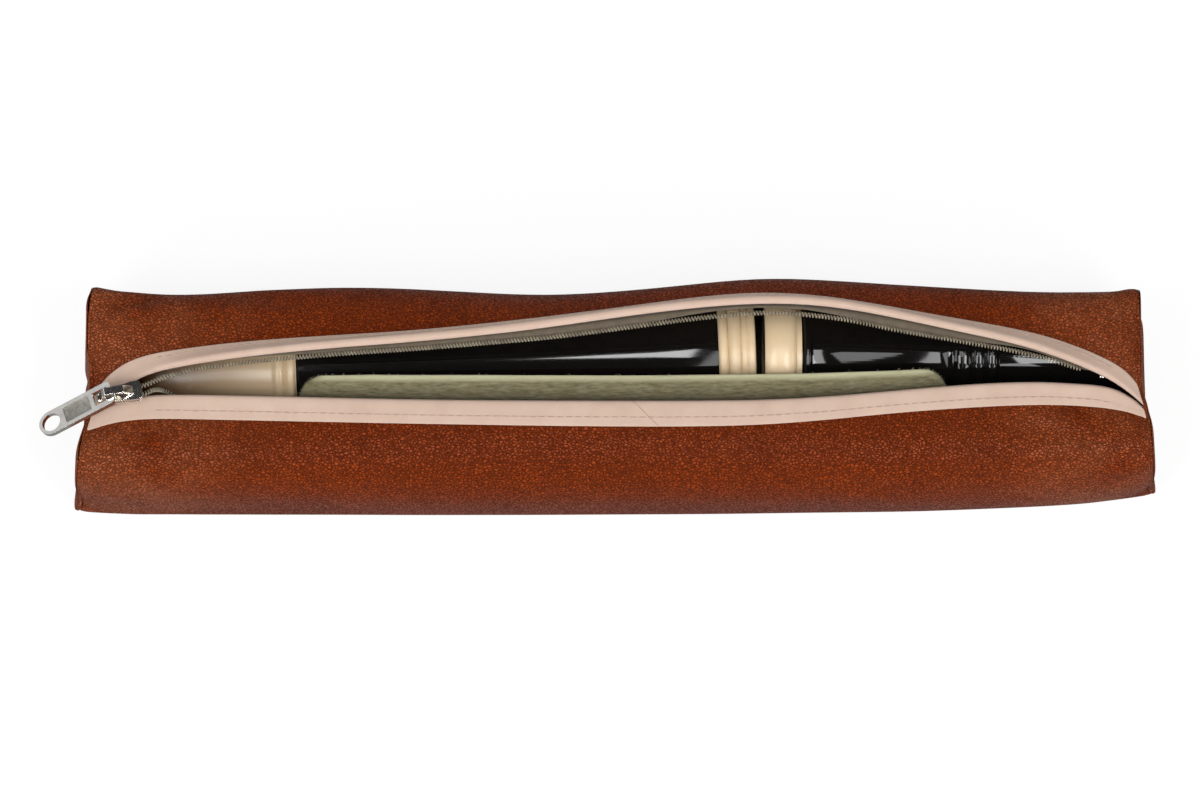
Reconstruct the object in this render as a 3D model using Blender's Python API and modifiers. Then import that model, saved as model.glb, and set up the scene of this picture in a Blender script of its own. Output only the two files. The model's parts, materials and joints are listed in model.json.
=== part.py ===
"""Alto recorder, taken apart in three joints, in its soft zip case with the mouth pulled open.

Lengths below are in millimetres and become metres through MM. +X runs along the case to the
right, +Y to its rear, +Z up. The origin is the centre of the flat bottom.
"""
import math

import bmesh
import bpy
from mathutils import Matrix, Vector

MM = 0.001
GAP = 0.3

# Recorder
SEGMENTS = 24
HEAD_LENGTH = 178.0
HEAD_YAW = 2.0
HEAD_ROLL = 75.0
HEAD_RING_RADIUS = 16.2
HEAD_RING_LENGTH = 10.7
HEAD_BODY_RADIUS = 13.2
HEAD_SWELL = 1.1
HEAD_BORE = 9.7
BEAK_LENGTH = 45.8
BEAK_RADIUS = 13.2
UNDERCUT_RADIUS = 62.0
SPIGOT_RADIUS = 11.7
SPIGOT_START = 28.3
WALL_AT_SOCKET = 2.6
HEAD_SOCKET_DEPTH = 19.0
BLOCK_START = 7.3
BLOCK_END = 57.0
WINDWAY = 1.5
WINDOW_WIDTH = 12.0
WINDOW_LENGTH = 5.0
RAMP_LENGTH = 14.0
MIDDLE_LENGTH = 245.0
MIDDLE_SHIFT = 0.5
MIDDLE_RADIUS = 11.4
MIDDLE_TAPER = 0.6
TOP_TENON_RADIUS = 10.7
TOP_TENON_LENGTH = 18.0
HEAD_SOCKET_RADIUS = TOP_TENON_RADIUS + GAP
FOOT_TENON_RADIUS = 10.0
FOOT_TENON_LENGTH = 13.0
MIDDLE_BORE_TOP = 8.8
MIDDLE_BORE_FOOT = 6.8
FOOT_LENGTH = 104.6
FOOT_ROLL = 75.0
FOOT_RING_RADIUS = 17.0
FOOT_RING_LENGTH = 10.6
FOOT_BODY_RADIUS = 13.0
FOOT_TAPER = 1.0
FOOT_SOCKET_DEPTH = 14.0
FOOT_BORE = 7.2
BEADS_SHARE = 0.52
# Radius and place of each front hole of the middle joint, as a share of the joint's length
FINGER_HOLES = ((2.6, 0.09), (3.0, 0.204), (2.6, 0.318), (2.9, 0.465), (3.1, 0.576))
DOUBLE_HOLE_SHARE = 0.69
THUMB_HOLE_SHARE = 0.045
FOOT_HOLE_SHARE = 0.296

# Case: the panel is leathercloth, wrapped from the front lip round the bottom to the rear lip.
# Head joint and foot joint lie in a row at the rear, and the middle joint in front of them.
LEATHER = 1.0
BEAK_ROOM = 18.0
BETWEEN_JOINTS = 2.7
FOOT_ROOM = 8.3
SIDE_ROOM = 1.2
TOP_ROOM = 2.7
CASE_LENGTH = BEAK_ROOM + HEAD_LENGTH + BETWEEN_JOINTS + FOOT_LENGTH + FOOT_ROOM
CASE_WIDTH = 2 * (FOOT_RING_RADIUS + MIDDLE_RADIUS) + LEATHER + SIDE_ROOM
CASE_HEIGHT = 2 * FOOT_RING_RADIUS + LEATHER + GAP + TOP_ROOM
HEAD_END_X = HEAD_LENGTH + BEAK_ROOM - CASE_LENGTH / 2
FOOT_LEFT_X = HEAD_END_X + BETWEEN_JOINTS
MIDDLE_LEFT_X = MIDDLE_SHIFT - MIDDLE_LENGTH / 2
CORNER_RADIUS = 4.0
END_LEAN = 6.2
END_LEAN_REACH = 45.0
PANEL_STATIONS = 25
END_SET_IN = 2.6
END_SET_IN_FRONT = -26.0
END_SET_IN_REACH = 20.0
END_PANEL_BULGE = 1.0
END_PANEL_RIM = 0.7
# The case that the guide curves were read on: its length at the top, width and height
GUIDE_SIZE = (300.0, 59.0, 38.0)
GUIDE_SCALE = (CASE_WIDTH / GUIDE_SIZE[1], CASE_HEIGHT / GUIDE_SIZE[2])

# Binding, tape and coil of the zip
BINDING_THICKNESS = 0.45
TAPE_THICKNESS = 0.4
TAPE_HIDDEN = 8.3
TAPE_DEPTH = LEATHER + 2.4 * GAP + BINDING_THICKNESS + TAPE_THICKNESS / 2
COIL_WIDTH = 1.2
COIL_HEIGHT = 1.1
TAPE_LEAVES = 2.0
TAPE_DROOP = 16.0
FRONT_COIL_TUCK = 2.4
ZIP_END_ROOM = 12.0
STITCH_PLACE = 0.62
STITCH_WIDTH = 0.5
STITCH_HEIGHT = 0.2
STOP_LENGTH = 1.4

# Slider, its crown and the pull tab
SLIDER_FROM_END = 16.0
SLIDER_PLACE = (SLIDER_FROM_END - CASE_LENGTH / 2, -2.9 * GUIDE_SCALE[0], CASE_HEIGHT + 2.7)
ZIP_FREE_START = SLIDER_PLACE[0] + 8.3
REAR_TAPE_START = SLIDER_PLACE[0] + 11.3
FRONT_TAPE_START = SLIDER_PLACE[0] + 22.0
SLIDER_YAW = 10.0
SLIDER_LENGTH = 10.5
SLIDER_WIDE = 5.4
SLIDER_NARROW = 4.6
SLIDER_PLATE = 0.9
SLIDER_CHANNEL = 1.8
SLIDER_FLANGE = 0.6
SLIDER_SLOT = 0.9
POST_WIDTH = 0.8
POST_LENGTH = 2.6
CROWN_WIDTH = 2.2
CROWN_THICKNESS = 0.9
TAB_YAW = 20.0
TAB_LENGTH = 23.6
TAB_WIDTH = 7.6
TAB_THICKNESS = 1.4
TAB_ROLL = 22.0
TAB_DROP = 14.0
TAB_BAR = 1.3
TAB_SLOT_LENGTH = 4.6
TAB_SLOT_WIDTH = 4.4
TAB_HOLE_RADIUS = 2.8
TAB_RECESS = 0.25

# Felt divider
FELT_THICKNESS = 1.2
FELT_LEFT = -0.2927 * CASE_LENGTH
FELT_RIGHT = 0.3065 * CASE_LENGTH
FELT_CORNER = 8.5
FELT_END_SHIFT = 2.0
FELT_END_SHARE = 0.2
FELT_ROWS = 10
FELT_CLEAR = 0.2
# Its section, from the bottom up: beyond its upright line, and height as a share of the case's
FELT_ROUTE = ((0.6, 0.04), (0.6, 0.237), (0.1, 0.36), (-0.15, 0.46), (0.0, 0.605), (2.2, 0.816),
              (8.5, 0.955))

# Guide curves of the soft case, along its length. Each station is its place along the case that
# GUIDE_SIZE describes, then Y, then height above CASE_HEIGHT. All are read off the photo.
REAR_LIP = ((-150, -7.0, -0.4), (-146.5, -4.5, -1.0), (-144, -2.2, -1.2), (-141, 0.2, -1.0),
            (-137.5, 2.4, -0.3), (-134.5, 3.5, 1.4), (-130, 4.8, 3.4), (-108, 8.1, 6.2),
            (-86, 10.1, 8.6), (-52, 12.1, 12.4), (-32, 13.4, 15.2), (-10, 15.9, 17.6),
            (11, 18.9, 19.3), (33, 20.4, 20.0), (49, 21.8, 19.3), (68, 20.0, 16.8),
            (97, 14.8, 11.0), (119, 10.7, 6.8), (137, 4.2, 3.6), (143, 1.6, 2.5),
            (148, -3.1, 1.9), (150, -6.1, 1.6))
REAR_BINDING_EDGE = ((-150, -3.0, -0.1), (-147.6, 0.4, 0.0), (-143, 5.9, 0.3), (-137.5, 7.9, 0.8),
                     (-131, 9.2, 1.5), (-109, 11.7, 2.8), (-87, 12.9, 4.9), (-53, 13.8, 9.1),
                     (-32, 15.6, 11.7), (-10, 17.4, 13.9), (11, 20.3, 15.0), (33, 22.8, 15.6),
                     (49, 23.6, 15.0), (68, 21.4, 12.8), (98, 17.4, 7.0), (120, 14.4, 3.2),
                     (134, 10.1, 1.6), (145, 5.4, 1.0), (149.3, 0.9, 0.6), (150, -0.9, 0.4))
REAR_CREST = ((-150, 31.2, 0.0), (-143, 28.8, 0.1), (-128, 26.8, 0.2), (-82, 29.6, 1.0),
              (-47, 28.3, 2.0), (-24, 26.2, 3.0), (10, 27.9, 4.0), (44, 31.2, 4.6),
              (67, 30.2, 3.8), (101, 28.9, 2.0), (124, 28.0, 0.6), (144, 28.9, 0.1),
              (150, 30.2, 0.0))
REAR_WALL_BULGE = ((-150, 0.0), (-82, 0.4), (-24, -0.8), (10, 0.6), (45, 1.6), (67, 1.2),
                   (101, 0.2), (150, -0.6))
FRONT_LIP = ((-150, -9.5, -0.4), (-146.5, -7.2, -1.0), (-144, -5.7, -1.3), (-141, -4.3, -1.5),
             (-137.5, -3.4, -1.6), (-134.5, -3.0, -1.6), (-126, -2.8, -1.6), (-94, -3.4, -1.6),
             (-53, -4.3, -1.6), (11, -4.6, -1.6), (47, -4.3, -1.6), (68, -2.8, -1.6),
             (93, -0.4, -1.6), (119, 1.0, -1.6), (134, 0.1, -1.5), (143, -0.7, -1.4),
             (148, -4.5, -1.5), (150, -7.4, -1.6))
FRONT_BINDING_EDGE = ((-150, -14.3, -1.4), (-145, -11.7, -1.7), (-138, -9.9, -2.0),
                      (-131, -9.5, -2.1), (-109, -9.9, -2.1), (-53, -11.0, -2.1),
                      (11, -11.8, -2.1), (47, -11.1, -2.1), (76, -8.1, -2.1), (105, -6.0, -2.1),
                      (123, -5.4, -2.1), (138, -6.3, -2.0), (147, -8.4, -1.9), (150, -10.6, -1.9))
FRONT_CREST = ((-150, -27.2, -1.6), (-110, -26.8, -4.0), (-40, -26.2, -4.8), (40, -26.2, -4.8),
               (95, -25.0, -4.2), (130, -23.4, -3.2), (150, -22.6, -1.8))
FRONT_WALL_BULGE = ((-150, 1.0), (-60, 2.0), (20, 1.9), (100, 1.3), (126, 0.6), (140, -0.8),
                    (150, -2.2))
FRONT_CORNER_BULGE = ((-150, 1.7), (-60, 1.9), (20, 1.7), (70, 1.1), (97, 0.5), (126, -0.9),
                      (141, -2.3), (150, -3.3))
# Where the front coil leaves the slider and dips under the front binding: X from the slider's
# middle, Y, height above CASE_HEIGHT
FRONT_COIL_DIP = ((5.2, -3.6, 2.7), (7.4, -1.7, 1.4), (9.6, -0.8, -1.8),
                  (12.0, -1.0, -4.8), (15.0, -2.9, -5.3), (19.0, -5.4, -5.2))
# How far the rear coil's middle stands from where its tape leaves the binding, along the case
REAR_COIL_REACH = ((-150, 1.7), (-104, 1.6), (-70, 1.55), (-36, 2.0), (-4, 2.8), (30, 2.0),
                   (42, 1.65), (70, 2.5), (83, 3.3), (96, 2.5), (124, 1.7), (150, 1.6))


def along(guide, place):
    """The guide's values at a place, on a smooth curve through its stations."""
    place = max(guide[0][0], min(guide[-1][0], place))
    last = len(guide) - 1
    i = 0
    while i < last - 1 and guide[i + 1][0] < place:
        i += 1
    x0, x1 = guide[i][0], guide[i + 1][0]
    t = (place - x0) / (x1 - x0)
    values = []
    for k in range(1, len(guide[0])):
        def slope(j):
            a, b = max(j - 1, 0), min(j + 1, last)
            return (guide[b][k] - guide[a][k]) / (guide[b][0] - guide[a][0])
        m0, m1 = slope(i) * (x1 - x0), slope(i + 1) * (x1 - x0)
        p0, p1 = guide[i][k], guide[i + 1][k]
        values.append((2 * t**3 - 3 * t**2 + 1) * p0 + (t**3 - 2 * t**2 + t) * m0
                      + (3 * t**2 - 2 * t**3) * p1 + (t**3 - t**2) * m1)
    return values


def ease(t):
    t = max(0.0, min(1.0, t))
    return t * t * (3 - 2 * t)


def lean(x):
    """How far the end of the case leans inwards at its top, at base position x."""
    reach = (abs(x) - CASE_LENGTH / 2 + END_LEAN_REACH) / END_LEAN_REACH
    return math.copysign(END_LEAN * ease(reach), x)


def place_point(x, y, z):
    """A point of the section at base position x: the ends lean in, and are set in behind the front."""
    share = lean(x) / END_LEAN
    set_in = END_SET_IN * ease((y - END_SET_IN_FRONT * GUIDE_SCALE[0]) / END_SET_IN_REACH)
    return Vector((x - share * (set_in + (END_LEAN - set_in) * z / CASE_HEIGHT), y, z)) * MM


def guide_place(x):
    """A base position as a place along the guide curves, which are given at the case's top."""
    return (x - lean(x)) / (CASE_LENGTH / 2 - END_LEAN) * GUIDE_SIZE[0] / 2


def guided(guide, x):
    """A guide's values at base position x, scaled to this case."""
    return [v * scale for v, scale in zip(along(guide, guide_place(x)), GUIDE_SCALE)]


def base_position(top_x):
    """The base position whose leaning section reaches top_x at the case's top."""
    x = top_x
    for _ in range(20):
        x = top_x + lean(x)
    return x


def smooth_through(points, count):
    """Evenly spaced points on a smooth curve through a few control points."""
    dense = []
    for i in range(len(points) - 1):
        p0 = points[max(i - 1, 0)]
        p1, p2 = points[i], points[i + 1]
        p3 = points[min(i + 2, len(points) - 1)]
        for step in range(12):
            t = step / 12
            dense.append(tuple(
                0.5 * (2 * b + (c - a) * t + (2 * a - 5 * b + 4 * c - d) * t * t
                       + (3 * b - a - 3 * c + d) * t**3)
                for a, b, c, d in zip(p0, p1, p2, p3)))
    dense.append(tuple(points[-1]))
    lengths = [0.0]
    for a, b in zip(dense, dense[1:]):
        lengths.append(lengths[-1] + math.dist(a, b))
    return [walk(dense, lengths, lengths[-1] * k / (count - 1)) for k in range(count)]


def walk(points, lengths, s):
    """The point at arc length s on a polyline, going straight on past its ends."""
    i = 0
    while i < len(points) - 2 and lengths[i + 1] < s:
        i += 1
    t = (s - lengths[i]) / (lengths[i + 1] - lengths[i])
    return tuple(a + (b - a) * t for a, b in zip(points[i], points[i + 1]))


def rear_wall(x):
    return CASE_WIDTH / 2 + guided(REAR_WALL_BULGE, x)[0]


def front_wall(x):
    return -CASE_WIDTH / 2 - guided(FRONT_WALL_BULGE, x)[0]


def front_corner(x):
    return -CASE_WIDTH / 2 - guided(FRONT_CORNER_BULGE, x)[0]


def front_controls(x):
    """Control points of the outer face, from the front lip down to the bottom corner."""
    lip = guided(FRONT_LIP, x)
    edge = guided(FRONT_BINDING_EDGE, x)
    crest = guided(FRONT_CREST, x)
    wall = front_wall(x)
    side = (CASE_WIDTH / 2 + crest[0]) / 2
    return [(lip[0], CASE_HEIGHT + lip[1]), (edge[0], CASE_HEIGHT + edge[1]),
            (crest[0] + 7, CASE_HEIGHT + crest[1] + 2.4), (crest[0], CASE_HEIGHT + crest[1]),
            (wall + side * 0.3, CASE_HEIGHT * 0.68), (wall, CASE_HEIGHT * 0.38),
            (front_corner(x), CORNER_RADIUS)]


def rear_controls(x):
    lip = guided(REAR_LIP, x)
    edge = guided(REAR_BINDING_EDGE, x)
    crest = guided(REAR_CREST, x)
    wall = rear_wall(x)
    lift = max(edge[1] - crest[1], 0.0)
    middle = ((edge[0] + crest[0]) / 2 + 0.12 * lift, CASE_HEIGHT + crest[1] + 0.5 * lift + 1.2)
    return [(lip[0], CASE_HEIGHT + lip[1]), (edge[0], CASE_HEIGHT + edge[1]), middle,
            (crest[0], CASE_HEIGHT + crest[1] - 2.5), (wall, CASE_HEIGHT * 0.48),
            (wall - 0.5, CORNER_RADIUS)]


class LipFrame:
    """Positions beside one lip: s along the face away from the lip edge, t out of the face."""

    def __init__(self, x, side):
        self.x = x
        self.side = side
        controls = front_controls(x) if side == "front" else rear_controls(x)
        self.points = smooth_through(controls, 40)
        self.lengths = [0.0]
        for a, b in zip(self.points, self.points[1:]):
            self.lengths.append(self.lengths[-1] + math.dist(a, b))
        edge = controls[1]
        near = min(range(39), key=lambda k: math.dist(self.points[k], edge)
                   + math.dist(self.points[k + 1], edge))
        gaps = math.dist(self.points[near], edge), math.dist(self.points[near + 1], edge)
        step = self.lengths[near + 1] - self.lengths[near]
        self.binding_width = self.lengths[near] + step * gaps[0] / (gaps[0] + gaps[1])

    def at(self, s, t):
        a = walk(self.points, self.lengths, s - 0.4)
        b = walk(self.points, self.lengths, s + 0.4)
        length = math.dist(a, b)
        along_face = ((b[0] - a[0]) / length, (b[1] - a[1]) / length)
        turn = 1 if self.side == "rear" else -1
        p = walk(self.points, self.lengths, s)
        return (p[0] - along_face[1] * t * turn, p[1] + along_face[0] * t * turn)


def lip_steps(width):
    """Distances from the lip edge across the binding."""
    return [width * k / 3 for k in range(4)]


def section(x, inset=0.0):
    """The wrapped panel's outer face at x, or a face inset from it, from front lip to rear lip."""
    sides = []
    for side, count in (("front", 7), ("rear", 9)):
        frame = LipFrame(x, side)
        steps = lip_steps(frame.binding_width)
        steps = steps + spread(steps[-1], frame.lengths[-1], count)[1:]
        sides.append([frame.at(s, -inset) for s in steps])
    front, rear = sides
    r = CORNER_RADIUS
    front_y, rear_y = front[-1][0] - inset + r, rear[-1][0] + inset - r
    arc_front = []
    arc_rear = []
    for k in range(1, 4):
        a = math.pi / 2 * k / 3
        arc_front.append((front_y - (r - inset) * math.cos(a), r - (r - inset) * math.sin(a)))
        arc_rear.append((rear_y + (r - inset) * math.cos(a), r - (r - inset) * math.sin(a)))
    flat = [(front_y + (rear_y - front_y) * k / 3, inset) for k in (1, 2)]
    return front + arc_front + flat + arc_rear[::-1] + rear[::-1]


def material(name, color, roughness, metallic=0.0):
    mat = bpy.data.materials.new(name)
    mat.use_nodes = True
    shader = mat.node_tree.nodes["Principled BSDF"]
    shader.inputs["Base Color"].default_value = (*color, 1.0)
    shader.inputs["Roughness"].default_value = roughness
    shader.inputs["Metallic"].default_value = metallic
    mat.diffuse_color = (*color, 1.0)
    return mat


def add_object(name, mesh, mat, smooth=True):
    obj = bpy.data.objects.new(name, mesh)
    parts.objects.link(obj)
    mesh.materials.append(mat)
    if smooth:
        mesh.shade_smooth()
        mesh.set_sharp_from_angle(angle=math.radians(40))
    return obj


def swept(name, sections, mat):
    """A closed solid through a run of sections, each a ribbon's two faces, there and back."""
    bm = bmesh.new()
    rings = [[bm.verts.new(place_point(x, y, z)) for y, z in loop] for x, loop in sections]
    count = len(rings[0])
    for a, b in zip(rings, rings[1:]):
        for k in range(count):
            n = (k + 1) % count
            if a[k].co.y <= a[n].co.y:
                bm.faces.new((a[k], a[n], b[n]))
                bm.faces.new((a[k], b[n], b[k]))
            else:
                bm.faces.new((a[k], a[n], b[k]))
                bm.faces.new((a[n], b[n], b[k]))
    for ring in (rings[0], rings[-1]):
        for k in range(count // 2 - 1):
            bm.faces.new((ring[k], ring[k + 1], ring[count - 2 - k], ring[count - 1 - k]))
    bmesh.ops.recalc_face_normals(bm, faces=bm.faces)
    mesh = bpy.data.meshes.new(name)
    bm.to_mesh(mesh)
    bm.free()
    return add_object(name, mesh, mat)


def ribbon_loop(points, thickness):
    """A closed outline round a polyline, half the thickness to either side."""
    upper, lower = [], []
    for i, p in enumerate(points):
        a, b = points[max(i - 1, 0)], points[min(i + 1, len(points) - 1)]
        length = math.dist(a, b)
        n = (-(b[1] - a[1]) / length * thickness / 2, (b[0] - a[0]) / length * thickness / 2)
        upper.append((p[0] + n[0], p[1] + n[1]))
        lower.append((p[0] - n[0], p[1] - n[1]))
    return upper + lower[::-1]


def spread(start, end, count):
    return [start + (end - start) * k / (count - 1) for k in range(count)]


def stations():
    """Where the case has its sections: closer together towards the two ends."""
    angles = spread(-math.pi / 2, math.pi / 2, PANEL_STATIONS)
    return [CASE_LENGTH / 2 * math.sin(a) for a in angles]


def sections_between(start, end, loop_at):
    """Sections at the panel's own stations, with in-between ones where the piece ends."""
    places = stations()
    found = [(x, loop_at(x)) for x in places if start + 0.6 < x < end - 0.6]
    for x in (start, end):
        i = max(k for k in range(len(places) - 1) if places[k] <= x)
        t = (x - places[i]) / (places[i + 1] - places[i])
        pairs = zip(loop_at(places[i]), loop_at(places[i + 1]))
        loop = [tuple(a + (b - a) * t for a, b in zip(p, q)) for p, q in pairs]
        found.insert(0 if x == start else len(found), (x, loop))
    return found


def wrap_panel(mat):
    sections = [(x, section(x) + section(x, LEATHER)[::-1]) for x in stations()]
    return swept("wrap_panel", sections, mat)


def end_panel(name, side, mat):
    """A soft panel that closes one end, pillowed outwards."""
    x = side * CASE_LENGTH / 2
    outline = section(x)
    centre = (sum(p[0] for p in outline) / len(outline), CASE_HEIGHT * 0.45)
    layers = ((GAP, 0.0), (GAP + END_PANEL_RIM * 0.6, 0.0), (GAP + END_PANEL_RIM, 0.05),
              (GAP + END_PANEL_BULGE * 0.75, 0.3), (GAP + END_PANEL_BULGE, 0.65))
    bm = bmesh.new()
    rings = []
    for out, inset in layers:
        ring = []
        for y, z in outline:
            y_in, z_in = y + (centre[0] - y) * inset, z + (centre[1] - z) * inset
            ring.append(bm.verts.new(place_point(x, y_in, z_in) + Vector((side * out * MM, 0, 0))))
        rings.append(ring)
    count = len(outline)
    for a, b in zip(rings, rings[1:]):
        for k in range(count):
            n = (k + 1) % count
            bm.faces.new((a[k], a[n], b[n], b[k]))
    for ring, out in ((rings[0], GAP), (rings[-1], GAP + END_PANEL_BULGE)):
        hub = bm.verts.new(place_point(x, *centre) + Vector((side * out * MM, 0, 0)))
        for k in range(count):
            bm.faces.new((ring[k], ring[(k + 1) % count], hub))
    bmesh.ops.recalc_face_normals(bm, faces=bm.faces)
    mesh = bpy.data.meshes.new(name)
    bm.to_mesh(mesh)
    bm.free()
    return add_object(name, mesh, mat)


def binding(name, side, mat):
    """A folded strip over one lip, an outer and an inner layer joined round the edge."""
    g, b, w = GAP, BINDING_THICKNESS, LEATHER
    half = CASE_LENGTH / 2 - 0.4

    def loop_at(x):
        frame = LipFrame(x, side)
        steps = lip_steps(frame.binding_width)
        outer = [(s, g + b) for s in reversed(steps)]
        fold = [(-(g + b) * 0.75, -w * 0.1), (-(g + b) * 0.75, -w * 0.9)]
        inner = [(s, -(w + g + b)) for s in steps]
        back = [(s, -(w + g)) for s in reversed(steps)]
        crook = [(-g * 0.9, -w * 0.8), (-g * 0.9, -w * 0.2)]
        front = [(s, g) for s in steps]
        return [frame.at(s, t) for s, t in outer + fold + inner + back + crook + front]

    return swept(name, sections_between(-half, half, loop_at), mat)


def slider_line(x, offset):
    """Y of a line beside the slider's own axis, offset to its rear."""
    yaw = math.radians(SLIDER_YAW)
    return SLIDER_PLACE[1] + (x - SLIDER_PLACE[0]) * math.tan(yaw) + offset / math.cos(yaw)


def coil_point(top_x, side):
    """Centre of one coil: through the slider, then beside its lip."""
    frame = LipFrame(base_position(top_x), side)
    turn = 1 if side == "rear" else -1
    slider_right = SLIDER_PLACE[0] + SLIDER_LENGTH / 2
    closed = COIL_WIDTH / 2 + 0.15
    parted = POST_WIDTH / 2 + 0.25 + COIL_WIDTH / 2
    t = ease((top_x - SLIDER_PLACE[0]) / (SLIDER_LENGTH * 0.45))
    in_slider = (slider_line(top_x, turn * (closed + (parted - closed) * t)), SLIDER_PLACE[2])
    if top_x <= slider_right - 0.2:
        return in_slider
    if side == "rear":
        reach = guided(REAR_COIL_REACH, base_position(top_x))[0]
        droop = math.radians(TAPE_DROOP)
        leaves = frame.at(TAPE_LEAVES, -TAPE_DEPTH)
        free = (leaves[0] - reach * math.cos(droop), leaves[1] - reach * math.sin(droop))
        k = ease((top_x - slider_right) / 9.0)
        return tuple(a + (b - a) * k for a, b in zip(in_slider, free))
    beyond_slider = top_x - SLIDER_PLACE[0]
    if beyond_slider < FRONT_COIL_DIP[-1][0]:
        y, height = [v * scale for v, scale in zip(along(FRONT_COIL_DIP, beyond_slider), GUIDE_SCALE)]
        return (y, CASE_HEIGHT + height)
    return frame.at(FRONT_COIL_TUCK, -(LEATHER + 2 * GAP + BINDING_THICKNESS + COIL_HEIGHT / 2))


def coil_start():
    return SLIDER_PLACE[0] - SLIDER_LENGTH / 2 - 0.9


def coil_end():
    return CASE_LENGTH / 2 - END_LEAN - ZIP_END_ROOM


def coil(name, side, mat):
    """One side of the zip's coil, as a plain strip through its centre line."""
    free = ZIP_FREE_START if side == "rear" else SLIDER_PLACE[0] + FRONT_COIL_DIP[-1][0]
    near = [base_position(x) for x in spread(coil_start(), free, 12 if side == "rear" else 20)]
    last = base_position(coil_end())
    w, h = COIL_WIDTH / 2, COIL_HEIGHT / 2

    def loop_at(x):
        y, z = coil_point(x - lean(x), side)
        return [(y - w, z + h * 0.3), (y, z + h), (y + w, z + h * 0.3),
                (y + w, z - h * 0.3), (y, z - h), (y - w, z - h * 0.3)]

    sections = [(x, loop_at(x)) for x in near[:-1]]
    sections += sections_between(near[-1], last, loop_at)
    return swept(name, sections, mat)


def tape(name, side, mat):
    """The woven tape between its seam under the binding and the coil."""
    start = REAR_TAPE_START if side == "rear" else FRONT_TAPE_START

    def loop_at(x):
        frame = LipFrame(x, side)
        y, z = coil_point(x - lean(x), side)
        hidden = min(TAPE_HIDDEN, frame.binding_width + 0.5)
        leaves = TAPE_LEAVES if side == "rear" else FRONT_COIL_TUCK + COIL_WIDTH / 2 + 2 * GAP
        route = [frame.at(s, -TAPE_DEPTH) for s in (hidden, (hidden + leaves) / 2, leaves)]
        if side == "rear":
            last = route[-1]
            stay = 1 - (COIL_WIDTH / 2 + 2 * GAP) / math.dist(last, (y, z))
            route.append((last[0] + (y - last[0]) * stay, last[1] + (z - last[1]) * stay))
        return ribbon_loop(route, TAPE_THICKNESS)

    ends = base_position(start), base_position(coil_end())
    return swept(name, sections_between(*ends, loop_at), mat)


def stitching(name, side, mat):
    """The lockstitch thread along one binding, as one low line."""
    start, end = base_position(ZIP_FREE_START), CASE_LENGTH / 2 - 6.0
    lift = GAP + BINDING_THICKNESS + GAP

    def loop_at(x):
        frame = LipFrame(x, side)
        s = frame.binding_width * STITCH_PLACE
        a, b = s - STITCH_WIDTH / 2, s + STITCH_WIDTH / 2
        return [frame.at(a, lift), frame.at(a, lift + STITCH_HEIGHT),
                frame.at(b, lift + STITCH_HEIGHT), frame.at(b, lift)]

    return swept(name, sections_between(start, end, loop_at), mat)


def box_mesh(name, size, centre=(0, 0, 0), bevel=0.0):
    bm = bmesh.new()
    bmesh.ops.create_cube(bm, size=1.0)
    for v in bm.verts:
        v.co = Vector([(c + s * k) * MM for c, s, k in zip(centre, size, v.co)])
    if bevel:
        bmesh.ops.bevel(bm, geom=bm.edges[:], offset=bevel * MM, segments=2, affect="EDGES",
                        profile=0.5)
    mesh = bpy.data.meshes.new(name)
    bm.to_mesh(mesh)
    bm.free()
    return mesh


def outline_mesh(name, outline, bottom, top, holes=()):
    """A flat outline extruded between two heights, with any holes cut straight through."""
    curve = bpy.data.curves.new(name, "CURVE")
    curve.dimensions = "2D"
    curve.fill_mode = "BOTH"
    for ring in (outline, *holes):
        spline = curve.splines.new("POLY")
        spline.points.add(len(ring) - 1)
        for point, (x, y) in zip(spline.points, ring):
            point.co = (x * MM, y * MM, 0, 1)
        spline.use_cyclic_u = True
    curve.extrude = (top - bottom) / 2 * MM
    temp = bpy.data.objects.new(name, curve)
    parts.objects.link(temp)
    mesh = bpy.data.meshes.new_from_object(temp.evaluated_get(bpy.context.evaluated_depsgraph_get()))
    bpy.data.objects.remove(temp)
    bm = bmesh.new()
    bm.from_mesh(mesh)
    bmesh.ops.remove_doubles(bm, verts=bm.verts, dist=0.00001)
    for v in bm.verts:
        v.co.z += (top + bottom) / 2 * MM
    bmesh.ops.recalc_face_normals(bm, faces=bm.faces)
    bm.to_mesh(mesh)
    bm.free()
    return mesh


def arc_points(centre, radius, start, end, count):
    points = []
    for a in spread(math.radians(start), math.radians(end), count):
        points.append((centre[0] + radius * math.cos(a), centre[1] + radius * math.sin(a)))
    return points


def cutter(name, mesh, parent=None):
    obj = bpy.data.objects.new(name, mesh)
    cutters.objects.link(obj)
    obj.hide_render = True
    obj.display_type = "WIRE"
    obj.parent = parent
    return obj


def cut(obj, tool, operation="DIFFERENCE"):
    mod = obj.modifiers.new(tool.name, "BOOLEAN")
    mod.operation = operation
    mod.object = tool


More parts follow.
